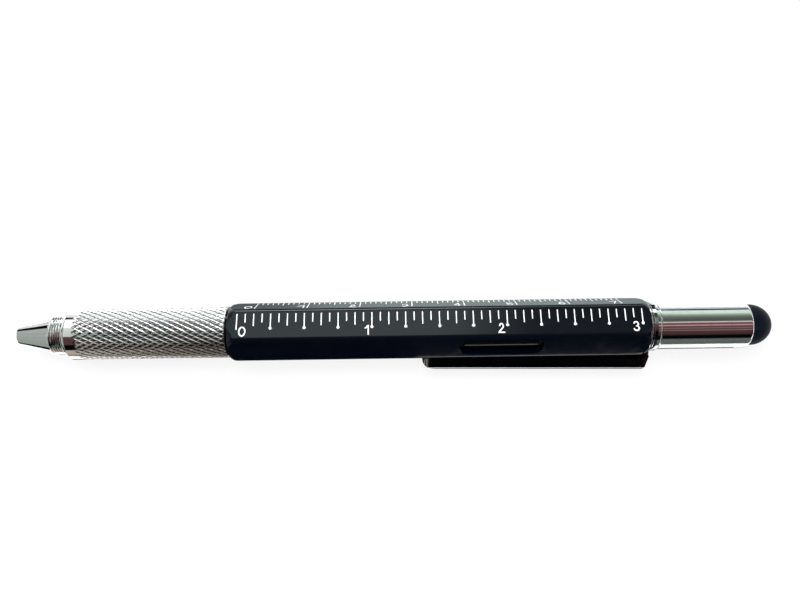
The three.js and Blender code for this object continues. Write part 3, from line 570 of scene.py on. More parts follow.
def hexagonPoints():
    centre = (barrel["flat"] - barrel["edge"]) / cos(pi / 6)
    points = []
    for side in range(6):
        corner = side * 60
        middle = (centre * cos(radians(corner)), centre * sin(radians(corner)))
        rounded = arc(middle, barrel["edge"], corner - 30, corner + 30, barrel["edgeSteps"])
        nextCorner = corner + 60
        target = (centre * cos(radians(nextCorner)) + barrel["edge"] * cos(radians(nextCorner - 30)),
                  centre * sin(radians(nextCorner)) + barrel["edge"] * sin(radians(nextCorner - 30)))
        points += rounded
        last = rounded[-1]
        for step in range(1, barrel["flatSteps"]):
            share = step / barrel["flatSteps"]
            points.append((last[0] + (target[0] - last[0]) * share, last[1] + (target[1] - last[1]) * share))
    return points


def softLeast(a, b, width):
    # the lesser of two radii, rounded where they meet
    gap = max(0, width - abs(a - b)) / width
    return min(a, b) - gap * gap * width / 4


def barrelTube():
    section = hexagonPoints()
    corner = (barrel["flat"] - barrel["edge"]) / cos(pi / 6) + barrel["edge"]
    drop = corner - barrel["endRadius"]
    steps, bore = barrel["crownSteps"], barrel["bore"]
    stations = [barrel["crown"] * (1 - cos(pi / 2 * i / steps)) for i in range(steps + 1)]
    rows = [[(barrel["start"], bore * y / hypot(y, z), bore * z / hypot(y, z)) for y, z in section]]

    def row(station, depth):
        share = depth / barrel["crown"]
        crown = barrel["endRadius"] + drop * sqrt(1 - (1 - share) ** 2) + barrel["crownRise"] * share
        made = []
        for y, z in section:
            radius = hypot(y, z)
            limited = softLeast(radius, crown, barrel["softness"])
            if depth < barrel["endChamfer"]:
                limited = min(limited, barrel["endRadius"] - (barrel["endChamfer"] - depth) * barrel["endSlope"])
            made.append((station, y * limited / radius, z * limited / radius))
        return made

    rows += [row(barrel["start"] + s, s) for s in stations]
    length = barrel["end"] - barrel["start"]
    for share in (0.25, 0.5, 0.75):
        rows.append([(barrel["start"] + length * share, y, z) for y, z in section])
    rows += [row(barrel["end"] - s, s) for s in reversed(stations)]
    rows.append([(barrel["end"], y, z) for _, y, z in rows[0]])
    return skinRows(rows)


def facePlace(side, heightOf=0):
    # (along, across, height) on one face of the barrel; across is positive away from the camera
    turn = radians(side)
    normal, across = (cos(turn), sin(turn)), (sin(turn), -cos(turn))

    def place(x, t, height):
        up = heightOf + height
        return (x, up * normal[0] + t * across[0], up * normal[1] + t * across[1])
    return place


def stadium(start, end, half, steps=16):
    return arc((end - half, 0), half, -90, 90, steps) + arc((start + half, 0), half, 90, 270, steps)


def windowTool():
    place = facePlace(levelSide)
    rows = []
    flare = window["chamfer"]
    for grow, height in ((0, window["floor"]), (0, barrel["flat"] - flare),
                         (flare * window["flareWide"], barrel["flat"] + flare * window["flareHigh"])):
        outline = stadium(window["start"] - grow, window["end"] + grow, window["half"] + grow)
        rows.append([place(u, v, height) for u, v in outline])
    points, faces = skinRows(rows, closed=False)
    count = len(rows[0])
    faces += [tuple(range(count)), tuple(range(2 * count, 3 * count))]
    return points, faces


barrelPiece = carve(meshOf("barrel_shell", barrelTube()), meshOf("windowTool", windowTool()))
finishPiece(barrelPiece, "barrel_body", barrelFinish, ["barrel"], True)
print("barrel built")


# printed scales: thin raised ink on two faces

inchScale = {"zero": 42.93, "pitch": 25.4 / 16, "count": 49, "top": 2.15, "sixteenth": 1.75, "eighth": 2.45,
             "quarter": 3.15, "line": 0.2, "dot": 0.28, "digitHeight": 1.92, "digitWidth": 1.38, "stroke": 0.25,
             "digitMiddle": -1.32, "digitBefore": (0, 0.55, 0.48, 0.66), "zeroAfter": 0.4}
metricScale = {"zero": 45.96, "pitch": 1.0, "count": 71, "top": 2.2, "one": 1.35, "five": 2.0, "ten": 4.2,
               "line": 0.19, "digitHeight": 1.95, "digitWidth": 1.5, "stroke": 0.24, "digitMiddle": -1.05,
               "digitBefore": 1.35}
ink = {"rise": 0.012, "sink": 0.01}


def tickOutline(x, top, bottom, width):
    half = width / 2
    return arc((x, top - half), half, 0, 180, 6) + arc((x, bottom + half), half, 180, 360, 6)


def dottedTick(x, top, bottom, width, dot):
    half = width / 2
    centre = bottom + dot
    opening = degrees(acos(half / dot))    # where the line leaves the dot
    return arc((x, top - half), half, 0, 180, 6) + arc((x, centre), dot, 180 - opening, 360 + opening, 18)


def strokeOf(digit):
    # the middle line of a numeral in a box one high and one wide, y upwards from its middle
    if digit == 0:
        return [(0.5 * cos(radians(a)), 0.5 * sin(radians(a))) for a in range(0, 360, 12)], True
    if digit == 1:
        return [(-0.5, 0.22), (-0.2, 0.26), (0.3, 0.5), (0.46, 0.5), (0.46, -0.5)], False
    if digit == 2:
        return arc((0, 0.22), 0.29, 170, -28, 14) + [(-0.42, -0.46), (-0.44, -0.5), (0.48, -0.5)], False
    if digit == 3:
        upper = [(x * 1.45, y) for x, y in arc((0, 0.26), 0.24, 160, -88, 14)]
        lower = [(x * 1.65, y) for x, y in arc((0, -0.24), 0.26, 88, -165, 16)]
        return upper + lower, False
    if digit == 4:
        return [(0.48, -0.22), (-0.46, -0.22), (-0.44, -0.16), (0.14, 0.5), (0.22, 0.5), (0.22, -0.5)], False
    if digit == 5:
        bowl = [(x * 1.35, y) for x, y in arc((0, -0.19), 0.31, 125, -150, 16)]
        return [(0.4, 0.5), (-0.3, 0.5), (-0.38, 0.02)] + bowl, False
    if digit == 6:
        bowl = [(x * 1.4, y) for x, y in arc((0, -0.2), 0.3, 170, 520, 24)]
        return [(0.34, 0.42), (0.1, 0.5), (-0.2, 0.36)] + bowl, False
    return [(-0.44, 0.5), (0.46, 0.5), (0.44, 0.42), (-0.1, -0.5)], False


def ribbon(path, width, closed):
    # a flat band along a line, with round ends, as points and faces in two dimensions
    half, count = width / 2, len(path)
    lefts, rights = [], []
    for i, point in enumerate(path):
        here = Vector(point)
        before = Vector(path[i - 1]) if closed or i else None
        after = Vector(path[(i + 1) % count]) if closed or i < count - 1 else None
        ways = [w.normalized() for w in ((here - before) if before else None, (after - here) if after else None) if w]
        way = sum(ways, Vector((0, 0))).normalized()
        side = Vector((-way.y, way.x))
        reach = half / max(0.6, side.dot(Vector((-ways[0].y, ways[0].x))))
        lefts.append(tuple(here + side * reach))
        rights.append(tuple(here - side * reach))
    points = lefts + rights
    links = count if closed else count - 1
    faces = [(i, (i + 1) % count, count + (i + 1) % count, count + i) for i in range(links)]
    if not closed:
        for end, toward in ((0, 1), (count - 1, count - 2)):
            middle = Vector(path[end])
            out = (middle - Vector(path[toward])).normalized()
            turn = degrees(atan2(out.y, out.x))
            cap = arc(middle, half, turn + 90, turn - 90, 6)[1:-1]
            first = len(points)
            points += cap
            left, right = (end, count + end) if end else (count + end, end)
            faces.append((left, *range(first, first + len(cap)), right))
    return points, faces


def inkSlab(flat, side):
    # gives flat shapes on a face the thickness of a layer of ink
    points, faces = flat
    place = facePlace(side, barrel["flat"])
    count = len(points)
    solid = [place(u, v, ink["rise"]) for u, v in points] + [place(u, v, -ink["sink"]) for u, v in points]
    edges = {}
    for face in faces:
        for a, b in zip(face, face[1:] + face[:1]):
            edges[(a, b)] = edges.get((a, b), 0) + 1
    rim = [(a, b) for a, b in edges if (b, a) not in edges]
    walls = [(b, a, count + a, count + b) for a, b in rim]
    return solid, list(faces) + [tuple(count + i for i in reversed(face)) for face in faces] + walls


def loopShape(outline):
    return outline, [tuple(range(len(outline)))]


def numeral(digit, x, middle, height, width, stroke):
    path, closed = strokeOf(digit)
    path = [(x + u * (width - stroke), middle + v * (height - stroke)) for u, v in path]
    return ribbon(path, stroke, closed)


def inchPrint():
    scale, shapes = inchScale, []
    for i in range(scale["count"]):
        x, top = scale["zero"] + i * scale["pitch"], scale["top"]
        if i % 4 == 0 and i:
            shapes.append(loopShape(dottedTick(x, top, top - scale["quarter"], scale["line"], scale["dot"])))
        else:
            length = scale["quarter"] if i == 0 else scale["eighth"] if i % 2 == 0 else scale["sixteenth"]
            shapes.append(loopShape(tickOutline(x, top, top - length, scale["line"])))
        if i % 16 == 0:
            width = scale["digitWidth"] * (0.6 if i == 16 else 1)
            x += scale["zeroAfter"] + width / 2 if i == 0 else -scale["digitBefore"][i // 16] - width / 2
            shapes.append(numeral(i // 16, x, scale["digitMiddle"], scale["digitHeight"], width, scale["stroke"]))
    return joined(*[inkSlab(shape, inchSide) for shape in shapes])


def metricPrint():
    scale, shapes = metricScale, []
    for i in range(scale["count"]):
        x, top = scale["zero"] + i * scale["pitch"], scale["top"]
        length = scale["ten"] if i % 10 == 0 else scale["five"] if i % 5 == 0 else scale["one"]
        shapes.append(loopShape(tickOutline(x, top, top - length, scale["line"])))
        if i % 10 == 0:
            shapes.append(numeral(i // 10, x - scale["digitBefore"], scale["digitMiddle"], scale["digitHeight"],
                                  scale["digitWidth"], scale["stroke"]))
    return joined(*[inkSlab(shape, metricSide) for shape in shapes])


finishPiece(meshOf("inch_scale_print", inchPrint(), smoothBelow=20), "barrel_body", printFinish)
finishPiece(meshOf("metric_scale_print", metricPrint(), smoothBelow=20), "barrel_body", printFinish)
print("scales printed")


# level: clear tube and liquid with its bubble under the window, both coloured nearly black as painted shade

level = {"axis": 2.55, "start": 85.7, "end": 99.9, "radius": 1.75, "wall": 0.45, "endWall": 0.6,
         "plug": 1.2, "fit": 0.05, "bubbleLength": 3.6, "bubbleRadius": 0.75}


def levelTurn():
    # from the vial's own axis to the pen's frame
    return penToWorld @ Matrix.Rotation(radians(levelSide - 90), 4, "X") @ Matrix.Translation((0, 0, level["axis"]))


def vialTube():
    inner = level["radius"] - level["wall"]
    profile = filleted([(level["start"], 0), (level["start"], level["radius"], 0.25),
                        (level["end"], level["radius"], 0.08), (level["end"], inner, 0.06),
                        (level["start"] + level["endWall"], inner, 0.2), (level["start"] + level["endWall"], 0)])
    return lathe(profile, 64)


def vialLiquid():
    inner = level["radius"] - level["wall"] - level["fit"]
    start = level["start"] + level["endWall"] + level["fit"]
    end = level["end"] - level["plug"] - level["fit"]
    profile = filleted([(start, 0), (start, inner, 0.15), (end, inner, 0.15), (end, 0)])
    return lathe(profile, 64)


def bubble():
    # the bubble lies against the side that is uppermost as the pen lies
    start = level["start"] + level["endWall"]
    middle = (start + level["end"] - level["plug"]) / 2
    inner = level["radius"] - level["wall"] - level["fit"]
    upward = radians(180 - levelSide - lie["roll"])
    shift = inner - level["bubbleRadius"] * 0.5
    profile = [(middle - level["bubbleLength"] / 2 * cos(radians(a)), level["bubbleRadius"] * sin(radians(a)))
               for a in range(0, 181, 9)]
    points, faces = lathe(profile, 32)
    return [(x, y + shift * cos(upward), z + shift * sin(upward)) for x, y, z in points], faces


finishPiece(meshOf("vial_tube", vialTube(), levelTurn()), "barrel_body", acrylic, ["level_vial"])
liquidPiece = carve(meshOf("vial_liquid", vialLiquid(), levelTurn()), meshOf("bubbleTool", bubble(), levelTurn()))
finishPiece(liquidPiece, "barrel_body", liquid, ["level_fluid"])
print("level built")


# washer, clip ring and clip

rear = {"washerStart": 121.0, "washerRadius": 4.85, "ringStart": 121.15, "ringRadius": 4.75, "ringEnd": 121.55,
        "bore": 3.75, "edge": 0.06, "tabHalf": 2.1, "tabFoot": 4.2, "tabTop": 5.3}


def flatRing(start, end, radius, bore, edge):
    corners = [(start, bore, edge), (start, radius, edge), (end, radius, edge), (end, bore, edge)]
    return lathe(filleted(corners, closed=True), 96, closed=True)


def clipTurn():
    return penToWorld @ Matrix.Rotation(radians(clipSide - 90), 4, "X")


washer = flatRing(rear["washerStart"], rear["ringStart"], rear["washerRadius"], rear["bore"], rear["edge"])
finishPiece(meshOf("trim_ring", washer), "barrel_body", chrome, ["trim_washer"], True)

band = flatRing(rear["ringStart"], rear["ringEnd"], rear["ringRadius"], rear["bore"], rear["edge"])
ringPlate = meshOf("clip_band", band)
tabOutline = [(-rear["tabHalf"], rear["tabFoot"]), (rear["tabHalf"], rear["tabFoot"]),
              (rear["tabHalf"], rear["tabTop"]), (-rear["tabHalf"], rear["tabTop"])]
tab = meshOf("tabTool", prism(tabOutline, rear["ringStart"], rear["ringEnd"], alongPen), clipTurn())
finishPiece(carve(ringPlate, tab, "UNION"), "barrel_body", clipFinish, ["clip_ring"])

clip = {"nose": 77.85, "end": 121.55, "width": 4.99, "noseTop": 7.5, "rootTop": 8.15, "legBottom": 5.29,
        "sheet": 0.4, "edge": 0.9, "noseCurve": 1.8, "flange": 5.75, "foot": 5.2, "noseDrop": 0.2, "noseFront": 6.06,
        "lean": 0.65, "heel": 0.75, "soften": 0.00007}    # soften in metres


def bladeTop(station):
    share = (station - clip["nose"]) / (clip["end"] - clip["nose"])
    return clip["noseTop"] + (clip["rootTop"] - clip["noseTop"]) * share


def curve(start, control, end, steps=14):
    start, control, end = Vector(start), Vector(control), Vector(end)
    return [tuple(start * (1 - s) ** 2 + control * 2 * s * (1 - s) + end * s * s)
            for s in (i / steps for i in range(1, steps + 1))]


def bladeSide():
    c = clip
    legTop = c["rootTop"] - c["heel"]
    bend = c["end"] - c["lean"] - c["lean"] / (legTop - c["legBottom"]) * c["heel"]
    heel = bend - c["heel"]
    front = c["nose"] + 2 * c["noseCurve"]
    path = [(c["end"], c["legBottom"]), (c["end"] - c["lean"], legTop)]
    path += curve(path[-1], (bend, bladeTop(bend)), (heel, bladeTop(heel)))
    path.append((front, bladeTop(front)))
    path += curve(path[-1], (c["nose"], c["noseTop"] - c["noseDrop"]), (c["nose"], c["noseFront"]))
    path += curve(path[-1], (c["nose"], c["foot"]), (c["nose"] + c["noseCurve"], c["foot"]))
    path += [(front, c["flange"]), (heel, c["flange"]), (c["end"] - c["sheet"], c["legBottom"])]
    return path


def clipBlade():
    c = clip
    half = c["width"] / 2
    rise = (c["rootTop"] - c["noseTop"]) / (c["end"] - c["nose"])

    def alongBack(u, v, d):
        return (c["nose"] + d, u, c["noseTop"] + v + rise * d)

    blade = meshOf("clip_spring", prism(bladeSide(), -half, half, acrossPen), clipTurn())
    plan = [(c["end"] + 1, half), (c["nose"] + c["noseCurve"], half)]
    plan += curve(plan[-1], (c["nose"], half), (c["nose"], 0))
    plan += [(u, -v) for u, v in reversed(plan[:-1])]
    carve(blade, meshOf("planTool", prism(plan, 0, 12, upThroughPen), clipTurn()), "INTERSECT")
    back = [(-half, -9), (half, -9)] + arc((half - c["edge"], -c["edge"]), c["edge"], 0, 90, 12)
    back += arc((c["edge"] - half, -c["edge"]), c["edge"], 90, 180, 12)
    carve(blade, meshOf("backTool", prism(back, -1, 46, alongBack), clipTurn()), "INTERSECT")
    start = c["nose"] + c["noseCurve"] + c["sheet"]
    end = c["end"] - c["lean"] - c["sheet"]
    hollow = filleted([(start, 0), (end + c["sheet"], 0), (end + c["sheet"], c["legBottom"] + c["sheet"]),
                       (end, bladeTop(end) - 1.5 * c["sheet"], 0.3), (start, bladeTop(start) - c["sheet"], 0.5)],
                      closed=True)
    inner = half - c["sheet"]
    carve(blade, meshOf("hollowTool", prism(hollow, -inner, inner, acrossPen), clipTurn()))
    soften = blade.modifiers.new("soften", "BEVEL")
    soften.width, soften.segments, soften.harden_normals = c["soften"], 2, True
    soften.limit_method, soften.angle_limit = "ANGLE", radians(40)
    return blade


finishPiece(clipBlade(), "clip_body", clipFinish, ["clip_blade"])
print("clip built")


# bit holder and bit

holder = {"start": 104.6, "spigot": 3.6, "flangeStart": 121.55, "flange": 4.75, "flangeEnd": 122.95, "chamfer": 0.2,
          "tail": 3.4, "tailEnd": 128.75, "relief": 0.15, "reliefLength": 0.6, "threadPitch": 0.6,
          "threadDepth": 0.16, "socket": 2.15, "socketStart": 108.3}


def hexOutline(flat, edge=0.0, steps=3):
    centre = (flat - edge) / cos(pi / 6)
    outline = []
    for side in range(6):
        middle = (centre * cos(radians(60 * side)), centre * sin(radians(60 * side)))
        outline += arc(middle, edge, 60 * side - 30, 60 * side + 30, steps) if edge else [middle]
    return outline


def threadRows(start, end, radius, pitch, depth, segments, inward=False):
    # a rolled thread: rows whose radius waves once per pitch, running out at both ends
    rows, steps = [], int((end - start) / pitch * 8)
    for i in range(steps + 1):
        station = start + (end - start) * i / steps
        fade = min(1, 5 * i / steps, 5 * (steps - i) / steps)
        row = []
        for j in range(segments):
            phase = (station / pitch + j / segments) % 1
            wave = abs(phase - 0.5) * 2
            reach = radius + (depth if inward else -depth) * wave * fade
            row.append((station, reach * cos(2 * pi * j / segments), reach * sin(2 * pi * j / segments)))
        rows.append(row)
    return rows


def bitHolder(segments=96):
    h = holder
    front = filleted([(h["start"], 0), (h["start"], h["spigot"], 0.15), (h["flangeStart"], h["spigot"]),
                      (h["flangeStart"], h["flange"], 0.05), (h["flangeEnd"] - h["chamfer"], h["flange"], 0.06),
                      (h["flangeEnd"], h["flange"] - h["chamfer"], 0.05), (h["flangeEnd"], h["tail"] - h["relief"]),
                      (h["flangeEnd"] + h["reliefLength"], h["tail"] - h["relief"])])
    thread = threadRows(h["flangeEnd"] + h["reliefLength"], h["tailEnd"] - 0.25, h["tail"], h["threadPitch"],
                        h["threadDepth"], segments)
    back = filleted([(h["tailEnd"] - 0.2, h["tail"] - 0.05), (h["tailEnd"], h["tail"] - 0.25), (h["tailEnd"], 0)])
    return skinRows(ringRows(front, segments) + thread + ringRows(back, segments), closed=False)


holderPiece = meshOf("holder_collar", bitHolder())
socket = prism(hexOutline(holder["socket"]), holder["socketStart"], holder["tailEnd"] + 1, alongPen)
finishPiece(carve(holderPiece, meshOf("socketTool", socket)), "barrel_body", chrome, ["bit_holder"], True)

bit = {"start": 108.4, "end": 135.4, "flat": 2.0, "shank": 1.6, "shankLength": 6.0, "blade": 0.6, "bladeLength": 4.4,
       "crossTip": 0.5, "crossCone": 1.9, "edge": 0.12, "smoothBelow": 28, "beyond": 3.2, "flute": 4.8,
       "fluteReach": 12}


def bitSolid():
    b = bit
    smooth = b["smoothBelow"]
    corner = b["flat"] / cos(pi / 6)
    taper = corner - b["shank"]
    bar = prism(hexOutline(b["flat"], b["edge"]), b["start"], b["end"], alongPen)
    made = meshOf("bit_double", bar, smoothBelow=smooth)
    turned = filleted([(b["start"], 0), (b["start"], b["shank"]), (b["start"] + b["shankLength"], b["shank"], 0.3),
                       (b["start"] + b["shankLength"] + taper, corner + 0.05),
                       (b["end"] - b["shankLength"] - taper, corner + 0.05),
                       (b["end"] - b["shankLength"], b["shank"], 0.3), (b["end"] - b["crossCone"], b["shank"]),
                       (b["end"], b["crossTip"]), (b["end"], 0)])
    carve(made, meshOf("turnedTool", lathe(turned, 64)), "INTERSECT", smooth)
    wedge = [(b["start"] - 1, b["blade"] / 2), (b["start"], b["blade"] / 2)]
    wedge += curve((b["start"], b["blade"] / 2), (b["start"] + b["bladeLength"] * 0.5, b["blade"] / 2 + 0.15),
                   (b["start"] + b["bladeLength"], b["shank"] + 0.05), 10)
    wedge += [(b["start"] + b["bladeLength"], b["beyond"]), (b["start"] - 1, b["beyond"])]
    for flip in (1, -1):
        flipped = [(u, flip * v) for u, v in wedge]
        carve(made, meshOf("wedgeTool", prism(flipped, -b["beyond"], b["beyond"], acrossPen)), smoothBelow=smooth)
    runOut = Matrix.Rotation(atan2(b["shank"] - b["crossTip"] / 2, b["bladeLength"]), 4, "Y")
    notch = [(0, 0), (b["flute"], b["flute"]), (-b["flute"], b["flute"])]
    groove = prism(notch, -b["fluteReach"], b["fluteReach"], alongPen)
    atTip = Matrix.Translation((b["end"], 0, b["crossTip"] / 2)) @ runOut
    for flute in range(4):
        turn = Matrix.Rotation(radians(90 * flute + 45), 4, "X") @ atTip
        carve(made, meshOf("fluteTool", groove, penToWorld @ turn), smoothBelow=smooth)
    return made


finishPiece(bitSolid(), "bit_body", toolSteel, ["screwdriver_bit"])
print("holder and bit built")


# cap, its threaded insert and the stylus tip

cap = {"start": 123.05, "end": 140.45, "radius": 4.5, "bore": 4.0, "edge": 0.08, "rim": 0.6, "insert": 3.95,
       "insertBore": 3.55, "insertStart": 123.15, "insertEnd": 129.15, "threadPitch": 0.6, "threadDepth": 0.14}
dome = {"start": 137.75, "centre": 141.495, "radius": 3.95, "stem": 3.0}


def capTube():
    corners = [(cap["start"], cap["bore"], 0.05), (cap["start"], cap["radius"], cap["edge"]),
               (cap["end"], cap["radius"], cap["rim"]), (cap["end"], cap["bore"], 0.04)]
    return lathe(filleted(corners, closed=True, steps=10), 128, closed=True)


def capInsert():
    outside = [(cap["insertStart"], cap["insertBore"] + 0.12), (cap["insertStart"], cap["insert"]),
               (cap["insertEnd"], cap["insert"]), (cap["insertEnd"], cap["insertBore"] + 0.12)]
    thread = threadRows(cap["insertEnd"] - 0.2, cap["insertStart"] + 0.2, cap["insertBore"], cap["threadPitch"],
                        cap["threadDepth"], 72, True)
    return skinRows(ringRows(outside, 72) + thread)


def stylusDome():
    steps, bore = 26, dome["stem"] + 0.05
    outside = [(dome["start"], bore), (dome["start"], dome["radius"])]
    outside += [(dome["centre"] + dome["radius"] * sin(radians(90 * i / steps)),
                 dome["radius"] * cos(radians(90 * i / steps))) for i in range(steps + 1)]
    inside = [(dome["centre"] + bore * sin(radians(90 * i / 12)), bore * cos(radians(90 * i / 12)))
              for i in range(12, -1, -1)]
    return joined(lathe(outside, 96), lathe(inside + [(dome["start"], bore)], 96))


finishPiece(meshOf("cap_shell", capTube()), "cap_body", chrome, ["cap_tube"], True)
finishPiece(meshOf("cap_insert", capInsert()), "cap_body", blackPlastic, ["cap_thread_insert"])
finishPiece(meshOf("stylus_dome", stylusDome()), "cap_body", rubber, ["stylus_tip"])
print("cap built")


# refill

refill = {"tipFront": 1.2, "ball": 0.35, "socket": 0.39, "front": 0.55, "coneEnd": 3.9, "tubeStart": 4.0,
          "end": 68.2, "radius": 1.175, "wall": 0.22, "shank": 0.905, "shankEnd": 6.6}


def refillPoint():
    r = refill
    front = r["tipFront"] + r["ball"]
    profile = filleted([(front, r["socket"]), (front, r["front"], 0.05), (front + 0.7, r["front"] + 0.02, 0.1),
                        (front + 0.75, r["front"] + 0.12, 0.05), (r["coneEnd"], r["radius"], 0.08),
                        (r["coneEnd"], r["shank"]), (r["shankEnd"], r["shank"]), (r["shankEnd"], 0)])
    socket = [(r["tipFront"] + 2 * r["ball"] + 0.04, 0), (r["tipFront"] + 2 * r["ball"] + 0.04, r["socket"])]
    return lathe(socket + profile, 48)


def refillTube():
    r = refill
    bore = r["radius"] - r["wall"]
    crimp = r["tubeStart"] + 1.4
    profile = filleted([(r["tubeStart"], bore, 0.05), (r["tubeStart"], r["radius"], 0.08), (crimp, r["radius"], 0.1),
                        (crimp + 0.2, r["radius"] - 0.07, 0.1), (crimp + 0.4, r["radius"], 0.1),
                        (r["end"], r["radius"], 0.08), (r["end"], bore, 0.05)], closed=True)
    return lathe(profile, 48, closed=True)


def refillBall():
    ball = refill["ball"]
    middle = refill["tipFront"] + ball
    return lathe([(middle - ball * cos(radians(a)), ball * sin(radians(a))) for a in range(0, 181, 10)], 24)


finishPiece(meshOf("refill_point", refillPoint()), "refill_body", brass, ["refill_tip"])
finishPiece(meshOf("refill_casing", refillTube()), "refill_body", brightSteel, ["refill_tube"])
finishPiece(meshOf("writing_ball", refillBall()), "refill_body", brightSteel, ["refill_ball"])

# the inner parts keep their solids and take their finishes
for nodeName, finish in {"twist_guide": whitePlastic, "twist_cam": whitePlastic, "cam_snap_ring": brightSteel,
                         "refill_carrier": blackPlastic, "stylus_core": blackPlastic, "level_saddle": blackPlastic,
                         "level_plug": blackPlastic}.items():
    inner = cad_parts[nodeName]
    for place in inner.material_slots:
        place.material = finish
print("refill built, inner parts finished")


# studio: pale floor, a tent of light and dark cloths round the pen, two soft lamps

studio = {"floor": 3.0, "radius": 0.62, "left": -3.0, "right": 1.6, "white": 1.0, "shadowShare": 0.15,
          "reflectedFloor": 0.1, "whiteFrom": 0.2, "whiteBeyond": 0.45, "brightest": 7, "cardHeight": 0.0002,
          "cardReach": 0.1, "strips": 36, "lift": 0.002, "world": 0.4}
# what hangs round the pen, by degrees up from the far horizon; each stop is (degrees, strength, cloth)
tent = {
    "tip": [(0, 0.95, "lilac"), (21, 0.9, "white"), (25, 0.004, "navy"), (46, 0.004, "navy"), (52, 0.48, "pearl"),
            (95, 0.44, "pearl"), (180, 0.38, "sage")],
    "gap": [(0, 0.03, "navy"), (84, 0.05, "sage"), (100, 0.12, "sage"), (180, 0.1, "sage")],
    "front": [(0, 0.9, "lilac"), (17, 0.9, "white"), (20, 0.004, "navy"), (29, 0.004, "navy"), (32, 1.5, "white"),
              (68, 1.4, "white"), (74, 0.85, "pearl"), (108, 0.66, "pearl"), (112, 0.1, "rose"), (145, 0.075, "rose"),
              (150, 0.003, "navy"), (174, 0.003, "navy"), (177, 0.45, "tan"), (180, 0.5, "tan")],
    "grip": [(0, 0.9, "white"), (24, 1.2, "white"), (36, 1.1, "white"), (46, 0.13, "pearl"), (104, 0.09, "pearl"),
             (108, 0.08, "rose"), (142, 0.05, "rose"), (148, 0.003, "navy"), (168, 0.003, "navy"), (173, 0.2, "tan"),
             (180, 0.2, "tan")],
    "middle": [(0, 0.03, "navy"), (15, 0.03, "navy"), (19, 7, "white"), (31, 7, "white"), (36, 0.4, "sage"),
               (54, 0.4, "sage"), (60, 1.25, "mist"), (76, 1.2, "mist"), (86, 0.6, "sage"), (94, 0.1, "rose"),
               (116, 0.04, "rose"), (124, 0.003, "navy"), (164, 0.003, "navy"), (170, 0.03, "sage"),
               (180, 0.03, "sage")],
    "back": [(0, 0.03, "navy"), (14, 0.03, "navy"), (18, 2.6, "sage"), (32, 1.8, "sage"), (36, 0.06, "sage"),
             (56, 0.06, "sage"), (62, 0.24, "mist"), (76, 0.22, "mist"), (86, 0.18, "mist"), (94, 0.1, "rose"),
             (116, 0.05, "rose"), (124, 0.003, "navy"), (165, 0.003, "navy"), (170, 0.03, "sage"),
             (180, 0.03, "sage")],
    "cap": [(0, 0.8, "lilac"), (10, 0.82, "lilac"), (11.5, 0.01, "navy"), (18, 0.02, "navy"), (21, 1.0, "sage"),
            (38, 0.85, "sage"), (46, 0.42, "sage"), (56, 0.2, "sage"), (70, 0.09, "sage"), (79, 0.12, "sage"),
            (82, 0.8, "pearl"), (85, 0.7, "rose"), (88, 0.12, "rose"), (94, 0.16, "rose"), (97, 0.6, "rose"),
            (100, 0.5, "rose"), (103, 0.1, "rose"), (109, 0.12, "rose"), (112, 0.34, "rose"), (114.5, 0.1, "rose"),
            (120, 0.12, "rose"), (122.5, 0.34, "rose"), (125, 0.08, "rose"), (144, 0.05, "rose"),
            (149, 0.003, "navy"), (165, 0.003, "navy"), (169, 0.13, "sage"), (180, 0.15, "sage")],
}
cloths = {"lilac": (0.93, 0.92, 1.0), "white": (1.0, 1.0, 0.99), "sage": (0.84, 1.0, 0.86), "rose": (1.0, 0.55, 0.56),
          "tan": (1.0, 0.86, 0.7), "navy": (0.5, 0.7, 1.0), "pearl": (0.96, 1.0, 0.95), "mist": (0.85, 1.0, 0.99)}
# where one cloth gives way to the next, along the pen
zones = [("tip", "gap", -0.72, -0.68), ("gap", "front", -0.46, -0.43), ("front", "grip", -0.36, -0.335),
         ("grip", "middle", -0.205, -0.19), ("middle", "back", 0.04, 0.16), ("back", "cap", 0.277, 0.287)]


def even(strength, cloth):
    # one brightness over the whole card
    return [(-studio["cardReach"], strength, cloth), (studio["cardReach"], strength, cloth)]


# cards lying on the floor: corners, and (place along the pen, strength, cloth)
cards = {
    "tipCard": ([(-0.3, -0.018), (-0.08, -0.018), (-0.65, -0.64), (-2.4, -0.64)], even(0.38, "sage")),
    # painted shade: a dark strip close beside the pen, seen in reflections as the pen's shade on the floor
    "tipStrip": ([(-0.25, -0.0073), (-0.073, -0.0073), (-0.08, -0.018), (-0.3, -0.018)], even(0.006, "navy")),
    "gripCard": ([(-0.077, -0.0146), (-0.0338, -0.0068), (-0.199, -0.64), (-0.65, -0.64)],
                 [(-0.074, 0.45, "tan"), (-0.062, 0.17, "tan")]),
    "barrelCard": ([(-0.0338, -0.0068), (0.0514, -0.0068), (0.293, -0.64), (-0.199, -0.64)], even(0.025, "navy")),
    "capCard": ([(0.0557, -0.018), (0.09, -0.018), (0.6, -0.64), (0.293, -0.64)], even(0.14, "sage")),
    # painted shadow: a dark sheet under the pen, seen in the chrome as its contact shadow
    "underCard": ([(-0.066, -0.0055), (0.068, -0.0055), (0.068, 0.004), (-0.066, 0.004)], even(0.02, "rose")),
    "shadeCard": ([(-0.0335, 0.0078), (0.051, 0.0078), (0.0565, 0.022), (-0.0375, 0.022)],
                  [(-0.031, 0.33, "mist"), (-0.022, 0.45, "mist"), (-0.012, 0.75, "mist"), (0.0, 0.85, "mist"),
                   (0.03, 0.9, "mist"), (0.05, 0.75, "mist"), (0.07, 0.7, "mist")]),
    "edgeCard": ([(-0.0385, 0.025), (0.0583, 0.025), (0.293, 0.64), (-0.199, 0.64)], even(0.03, "navy")),
    "clipStrip": ([(0.0045, -0.016, 0.0004), (0.0525, -0.016, 0.0004), (0.057, -0.028, 0.0004),
                   (0.0045, -0.028, 0.0004)], even(3.0, "white")),
}
